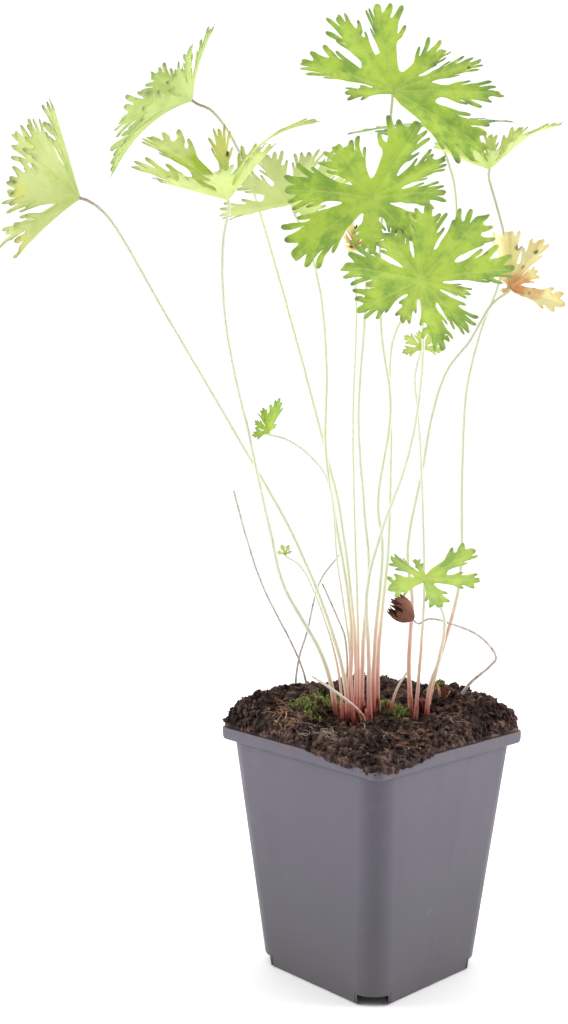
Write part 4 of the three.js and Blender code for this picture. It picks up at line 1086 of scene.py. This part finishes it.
def make_blade(leaf, index):
    """One blade: the flat plan cut into triangles, bent, waved and thickened, with its point values."""
    rng = np.random.default_rng(500 + index)
    ring = lobe_ring(leaf)
    plan, tips, veins = blade_plan(leaf, ring)
    outline = chaikin(plan, 2)
    size = max(lobe["length"] for lobe in ring)
    step, width = (0.82, 0.34) if size > SMALL_LEAF else (0.45, 0.22)

    vein_points = np.concatenate([run for run, _ in veins])
    vein_points = vein_points[inside(vein_points, outline)]
    vein_points = drop_close(vein_points, outline, 0.3 * step)
    kept = [vein_points[0]]
    for point in vein_points[1:]:
        if np.min(np.linalg.norm(np.array(kept) - point, axis=1)) > 0.4 * step:
            kept.append(point)
    vein_points = np.array(kept)
    span = int(size * 1.15 / step) + 1
    rows, columns = np.mgrid[-span:span + 1, -span:span + 1]
    grid = np.stack([step * (columns + 0.5 * (rows % 2)), step * rows * 0.866], -1).reshape(-1, 2)
    grid = grid + rng.uniform(-0.16, 0.16, grid.shape) * step
    grid = grid[inside(grid, outline)]
    grid = drop_close(drop_close(grid, outline, 0.45 * step), vein_points, 0.55 * step)
    flat = np.vstack([outline, vein_points, grid])
    found = delaunay_2d_cdt([Vector(p) for p in flat], [], [list(range(len(outline)))], 1, 1e-4)
    flat = np.array([tuple(p) for p in found[0]])
    faces = np.array([tuple(face) for face in found[2]])

    midribs = [(np.zeros(2), lobe["length"] * around(math.radians(lobe["angle"]))) for lobe in ring]
    off_midrib = distance_to(flat, midribs)
    edge_gap = distance_to(flat, list(zip(outline, np.roll(outline, -1, axis=0))))
    count = len(flat)
    vein, pleat, tip = np.zeros((3, count))
    for run, strength in veins:
        gap = distance_to(flat, list(zip(run[:-1], run[1:])))
        vein = np.maximum(vein, strength * np.exp(-(gap / width) ** 2))
        pleat = np.maximum(pleat, strength * np.exp(-(gap / (3.2 * width)) ** 2))
    for place in tips:
        tip = np.maximum(tip, np.exp(-(np.linalg.norm(flat - place, axis=1) / (0.045 * size + 0.35)) ** 2)
                         * rng.uniform(0.35, 1.0))
    crinkle = leaf.get("crinkle", 1.0)
    seeded = np.column_stack([flat, np.full(count, 40.0 * index)])
    waves = fractal(seeded, 13.0, 2)
    ruffle = fractal(seeded, 4.5, 2, 3.0)
    quilt = fractal(seeded, 1.9, 2, 8.0)
    out = np.hypot(*flat.T)
    away = smooth(out, 1.0, 8.0)
    scale = min(1.0, size / 30)
    rise = leaf.get("fold", FOLD) * (np.sqrt(off_midrib ** 2 + 0.7) - math.sqrt(0.7))
    rise += away * crinkle * scale * (0.5 * waves + 0.55 * ruffle * np.exp(-edge_gap / 1.6)) + 0.025 * quilt
    rise -= PLEAT_DEPTH * scale * pleat
    middle = bent(leaf, ring, flat, rise)

    corners = middle[faces]
    normals = np.zeros_like(middle)
    across = np.cross(corners[:, 1] - corners[:, 0], corners[:, 2] - corners[:, 0])
    for k in range(3):
        np.add.at(normals, faces[:, k], across)
    normals /= np.linalg.norm(normals, axis=1)[:, None] + 1e-12
    half = (EDGE_HALF + INNER_HALF * smooth(edge_gap, 0, 1.2))[:, None] * (0.7 if leaf.get("thin") else 1)
    top = middle + normals * (half - VEIN_GROOVE * vein[:, None])
    bottom = middle - normals * (half + VEIN_RIDGE * vein[:, None])
    used = dict.fromkeys(edge for a, b, c in faces for edge in ((a, b), (b, c), (c, a)))
    shell = [tuple(face) for face in faces] + [(c + count, b + count, a + count) for a, b, c in faces]
    shell += [(a, a + count, b + count, b) for a, b in used if (b, a) not in used]
    two = lambda values: np.r_[values, values]
    under = np.r_[np.zeros(count), np.ones(count)]
    stain, yellow = np.zeros((2, count))
    heart = 0.55 * np.exp(-(out / (0.25 * size)) ** 2)
    for values, key, ragged, full in (
            (stain, "stains", 0.3 * quilt, 0.75), (heart, "tints", 0.35 * ruffle, 0.4),
            (yellow, "yellows", 0.35 * ruffle, 0.4)):
        for *place, radius, strength in leaf.get(key, ()):
            off = np.hypot(*(flat - place).T) / radius
            np.maximum(values, strength * (1 - smooth(off * (1 + ragged), full, 1.1)), out=values)
    # Among the point values, the per-leaf darkening is painted shade.
    mesh_piece(f"leaf_{leaf['name']}_blade", np.vstack([top, bottom]), shell, LEAF_LOOKS[leaf["look"]],
               LEAF_SLOTS.get(leaf["look"], leaf["look"]), [f"blade_{leaf['name']}"], vein=two(vein),
               tip=two(tip), stain=two(stain), heart=two(heart), yellow=two(yellow), under=under,
               dim=np.full(2 * count, leaf.get("dim", 0)), wash=np.full(2 * count, leaf.get("wash", 0)))


for index, leaf in enumerate(LEAVES):
    leaf["seed"] = 11 * (index + 1)
    make_blade(leaf, index)


# ---------------------------------------------------------------- crown, fibres and moss

def scale_shape(rng, middle, base):
    """One papery scale: a thin pointed strip wrapped round a petiole's foot, as (points, faces)."""
    turn = any_turn(rng)
    tall, wide, lean = rng.uniform(3.5, 8.0), rng.uniform(0.9, 1.7), rng.uniform(-0.1, 0.35)
    rows, columns, points, faces = 9, 5, [], []
    for side in (1, -1):
        for t in np.linspace(0, 1, rows):
            half = wide * (1 - t ** 1.7) ** 0.8 * (0.7 + 0.3 * math.sin(math.pi * t)) + 0.04
            reach = 1.5 + lean * tall * t ** 1.6 + (0.15 - 0.12 * t) * side
            for u in np.linspace(-1, 1, columns):
                points.append((*(middle + reach * around(turn + u * half / 2.2)),
                               base + tall * t + 0.3 * math.sin(7 * t + turn)))
    other = rows * columns
    for row in range(rows - 1):
        for start in range(row * columns, (row + 1) * columns - 1):
            quad = [start, start + 1, start + 1 + columns, start + columns]
            faces += [quad, [v + other for v in quad[::-1]]]
        for start, step in ((row * columns, 1), ((row + 1) * columns - 1, -1)):
            faces.append([start, start + columns, start + columns + other, start + other][::step])
    for row, step in ((0, 1), (rows - 1, -1)):
        for start in range(row * columns, (row + 1) * columns - 1):
            faces.append([start + 1, start, start + other, start + 1 + other][::step])
    return points, faces


SCALES_PER_STEM = 5


def make_sheaths():
    """Papery red-brown scales round the feet of the petioles."""
    rng = np.random.default_rng(77)
    parts = Parts("shade")
    for stem in [*LEAVES, *STALKS[3:]]:
        middle = level(*stem["foot"])
        for _ in range(SCALES_PER_STEM):
            parts.add(*scale_shape(rng, middle, ground(*middle) - 1.0), shade=rng.random())
    return parts.piece("crown_sheaths", SHEATH, "rootstock")


make_sheaths()


FIBRE_STEP, FIBRE_LIMIT = 1.2, 43.2
STRAY_FIBRES, STRAY_REACH, STRAY_LIMIT = 90, 52, 41
# Each bunch as its count, the middle and spread of its places across and back, the spread of its headings,
# its lengths, radii and shades from and to, and its hump and wander
FIBRE_BUNCHES = [
    (44, ((-36, 3.4), (-17, 6.0)), 1.2, (5, 16), (0.06, 0.26), (0.2, 0.6), 1.0, 0.5),
    (60, ((-17, 8.0), (-27, 3.6)), 0.9, (5, 20), (0.05, 0.17), (0.7, 1.0), 0.5, 0.45),
]


def lay_fibre(parts, rng, start, heading, length, radius, shade, hump=0.6, wander=0.35):
    """A fibre that lies along the soil from a place [across, back]."""
    place, path = level(*start), []
    turn = heading
    for i in range(max(6, int(length / FIBRE_STEP))):
        lift = radius * 0.7 + hump * (0.5 + 0.5 * math.sin(0.55 * i + 9 * shade))
        path.append([*place, ground(*place) + lift])
        turn += rng.normal() * wander
        place = place + FIBRE_STEP * around(turn)
        if np.max(np.abs(place)) > FIBRE_LIMIT:
            break
    if len(path) < 5:
        return
    path = catmull(path, 3)
    along = np.linspace(0, 1, len(path))
    points, faces = tube(path, radius * (1 - 0.6 * along ** 2) + 0.03, 6, ridge=0.15)
    parts.add(points, faces, shade=shade)


def make_fibres():
    rng = np.random.default_rng(31)
    parts = Parts("shade")
    for count, where, spread, lengths, radii, shades, hump, wander in FIBRE_BUNCHES:
        for _ in range(count):
            start = [rng.normal(*middle) for middle in where]
            lay_fibre(parts, rng, start, rng.normal(-0.9, spread), rng.uniform(*lengths),
                      rng.uniform(*radii), rng.uniform(*shades), hump, wander)
    for _ in range(STRAY_FIBRES):
        start = rng.uniform(-STRAY_REACH, STRAY_REACH, 2)
        if np.max(np.abs(level(*start))) < STRAY_LIMIT:
            lay_fibre(parts, rng, start, any_turn(rng), rng.uniform(4, 16), rng.uniform(0.07, 0.2),
                      rng.random(), 0.7)
    return parts.piece("root_fibres", FIBRE, "soil")


make_fibres()


CHIPS, FRONT_CHIPS, GRAINS, CHIP_LIMIT = 54, 16, 22, 42.5


def make_bark_bits():
    """Chips of bark and a few pale grains on the soil."""
    rng = np.random.default_rng(47)
    chips, grains = Parts("shade"), Parts("shade")
    for i in range(CHIPS):
        place = (rng.normal(19, 6.5), rng.normal(-36, 5.0)) if i < FRONT_CHIPS else rng.uniform(-50, 50, 2)
        x, y = level(*place)
        if max(abs(x), abs(y)) > CHIP_LIMIT:
            continue
        shape = any_lump(rng) * (rng.uniform(1.0, 2.4), rng.uniform(0.5, 1.0), 0.35)
        shape = shape @ np.array(Matrix.Rotation(rng.uniform(0, 6.3), 3, "Z")
                                 @ Matrix.Rotation(rng.normal() * 0.35, 3, "X")).T
        chips.add(shape + (x, y, ground(x, y) + 0.9), LUMP_FACES, shade=rng.random())
    for _ in range(GRAINS):
        turn = any_turn(rng)
        x, y = float(heap_edge(turn)) * rng.uniform(0.82, 0.98) * around(turn)
        shape = any_lump(rng) * rng.uniform(0.25, 0.55)
        grains.add(shape + (x, y, ground(x, y) + 0.7), LUMP_FACES, shade=1.0)
    chips.piece("bark_chips", BARK, "soil")
    grains.piece("pale_grains", FIBRE, "soil")


make_bark_bits()


# Each patch as across, back, spread and number of shoots
MOSS_PATCHES = [
    (-30, -5, 4.6, 110), (-22, 7, 4.6, 100), (-15, 4, 4.8, 100), (-12, 10, 3.4, 60), (-25, -10, 4.6, 110),
    (6.5, 8, 3.0, 50), (9.5, 2, 3.8, 90), (12.5, -6, 3.4, 60), (-6, 30, 4.0, 50), (28, 18, 4.0, 45),
]


def make_moss():
    """Cushions of tiny leafy shoots."""
    rng = np.random.default_rng(63)
    parts = Parts("shade")
    for across, back, spread, count in MOSS_PATCHES:
        for _ in range(count):
            off = rng.normal(size=2) * spread * 0.55
            x, y = level(across + off[0], back + off[1])
            base = ground(x, y) + 0.2
            tall = rng.uniform(0.7, 1.6) * math.exp(-(off @ off) / (2 * spread ** 2))
            lean = rng.normal(size=2) * 0.25
            bright = rng.random()
            top = np.array([x + lean[0], y + lean[1], base + tall])
            foot = np.array([x, y, base - 0.6])
            points, faces = tube(np.array([foot, (foot + top) / 2, top]), np.array([0.22, 0.2, 0.1]), 5)
            parts.add(points, faces, shade=0.3 * bright)
            for tier in range(3):
                node = foot + (top - foot) * (0.5 + 0.25 * tier)
                for k in range(6):
                    turn = 2 * math.pi * (k + 0.5 * tier) / 6 + rng.normal() * 0.2
                    out = unit(np.array([math.cos(turn), math.sin(turn), 0.35 + 0.5 * tier]))
                    aside = 0.16 * np.array([-math.sin(turn), math.cos(turn), 0])
                    reach = rng.uniform(0.6, 0.95) * (1 - 0.15 * tier)
                    blade = [node + aside, node - aside, node + reach * out,
                             node + 0.45 * reach * out + (0, 0, 0.14)]
                    parts.add(blade, [(0, 1, 2), (0, 3, 1), (1, 3, 2), (2, 3, 0)],
                              shade=0.35 + 0.65 * bright * (0.6 + 0.2 * tier))
    return parts.piece("moss_cushions", MOSS, "soil")


make_moss()

rootstock = bpy.data.objects["rootstock"]
rootstock.data.materials.clear()
rootstock.data.materials.append(BARK)


# ---------------------------------------------------------------- floor, light and camera

FLOOR_RINGS, FLOOR_SECTORS, FLOOR_TOP = (0.3, 0.8, 2.0, 5.0, 12.0), 48, -0.0002
LAMPS = {"left_box": ((-0.88, 0.95, 0.7), 16), "right_box": ((0.95, -0.88, 0.7), 18)}
LAMP_WIDTH, LAMP_TARGET = 0.9, (0, 0, 0.15)
CAMERA_PLACE, CAMERA_WAY = (-0.39969, -0.36548, 0.2339), (0.68784363, 0.72129797, -0.0812427)
CAMERA_ROLL, LENS = 0.42, 46.43


def make_floor():
    s = Shader("pale_floor", 0.9, Specular_IOR_Level=0.1)
    color = s.ramp(s.noise(180.0, 3.0), (0.3, 252, 252, 252), (0.7, 250, 250, 250))
    material = s.finish(color, None, s.bump(s.noise(1.5, 2.0), 0.02, 0.1))
    mesh = bpy.data.meshes.new("floor")
    sectors = FLOOR_SECTORS
    steps = [around(2 * math.pi * k / sectors) for k in range(sectors)]
    points = [(0, 0, FLOOR_TOP), *((*reach * step, FLOOR_TOP) for reach in FLOOR_RINGS for step in steps)]
    faces = [(0, 1 + k, 1 + (k + 1) % sectors) for k in range(sectors)]
    for ring in range(len(FLOOR_RINGS) - 1):
        for k in range(sectors):
            a, b = 1 + ring * sectors + k, 1 + ring * sectors + (k + 1) % sectors
            faces.append((a, a + sectors, b + sectors, b))
    mesh.from_pydata(points, [], faces)
    mesh.materials.append(material)
    linked("floor", mesh)


def make_lamps():
    """A soft box at each side."""
    for name, (place, power) in LAMPS.items():
        data = bpy.data.lights.new(name, "AREA")
        data.shape, data.size, data.energy = "DISK", LAMP_WIDTH, power
        lamp = linked(name, data)
        lamp.location = place
        lamp.rotation_euler = (Vector(LAMP_TARGET) - Vector(place)).to_track_quat("-Z", "Y").to_euler()


def make_surround():
    """A white surround, brightest behind the plant and above it, and darker behind the camera."""
    scene.world = bpy.data.worlds.new("studio")
    s = Nodes(scene.world)
    way = s.node("ShaderNodeTexCoord").outputs["Generated"]

    def toward(direction, *ends):
        dot = s.node("ShaderNodeVectorMath", operation="DOT_PRODUCT")
        s.join(way, dot.inputs[0])
        s.join(direction, dot.inputs[1])
        return s.remap(dot.outputs["Value"], *ends)

    behind = toward((-HALF_TURN, -HALF_TURN, 0.0), 0.0, 0.9, 1.1, 0.1)
    above = toward((0.0, 0.0, 1.0), 0.2, 1.0, 0.0, 0.35)
    background = s.tree.nodes["Background"].inputs
    s.join(s.math("ADD", behind, above), background["Strength"])
    s.join((1, 1, 1, 1), background["Color"])


def make_camera():
    forward = Vector(CAMERA_WAY).normalized()
    right = forward.cross(Vector((0, 0, 1))).normalized()
    up = right.cross(forward)
    roll = math.radians(CAMERA_ROLL)
    right, up = (right * math.cos(roll) + up * math.sin(roll), up * math.cos(roll) - right * math.sin(roll))
    data = bpy.data.cameras.new("camera")
    data.sensor_fit, data.sensor_width, data.lens = "AUTO", 36, LENS
    data.clip_start, data.clip_end = 0.01, 50
    scene.camera = linked("camera", data)
    scene.camera.matrix_world = (Matrix.Translation(CAMERA_PLACE)
                                 @ Matrix((right, up, -forward)).transposed().to_4x4())


make_floor()
make_surround()
make_lamps()
make_camera()
scene.view_settings.view_transform = "Standard"
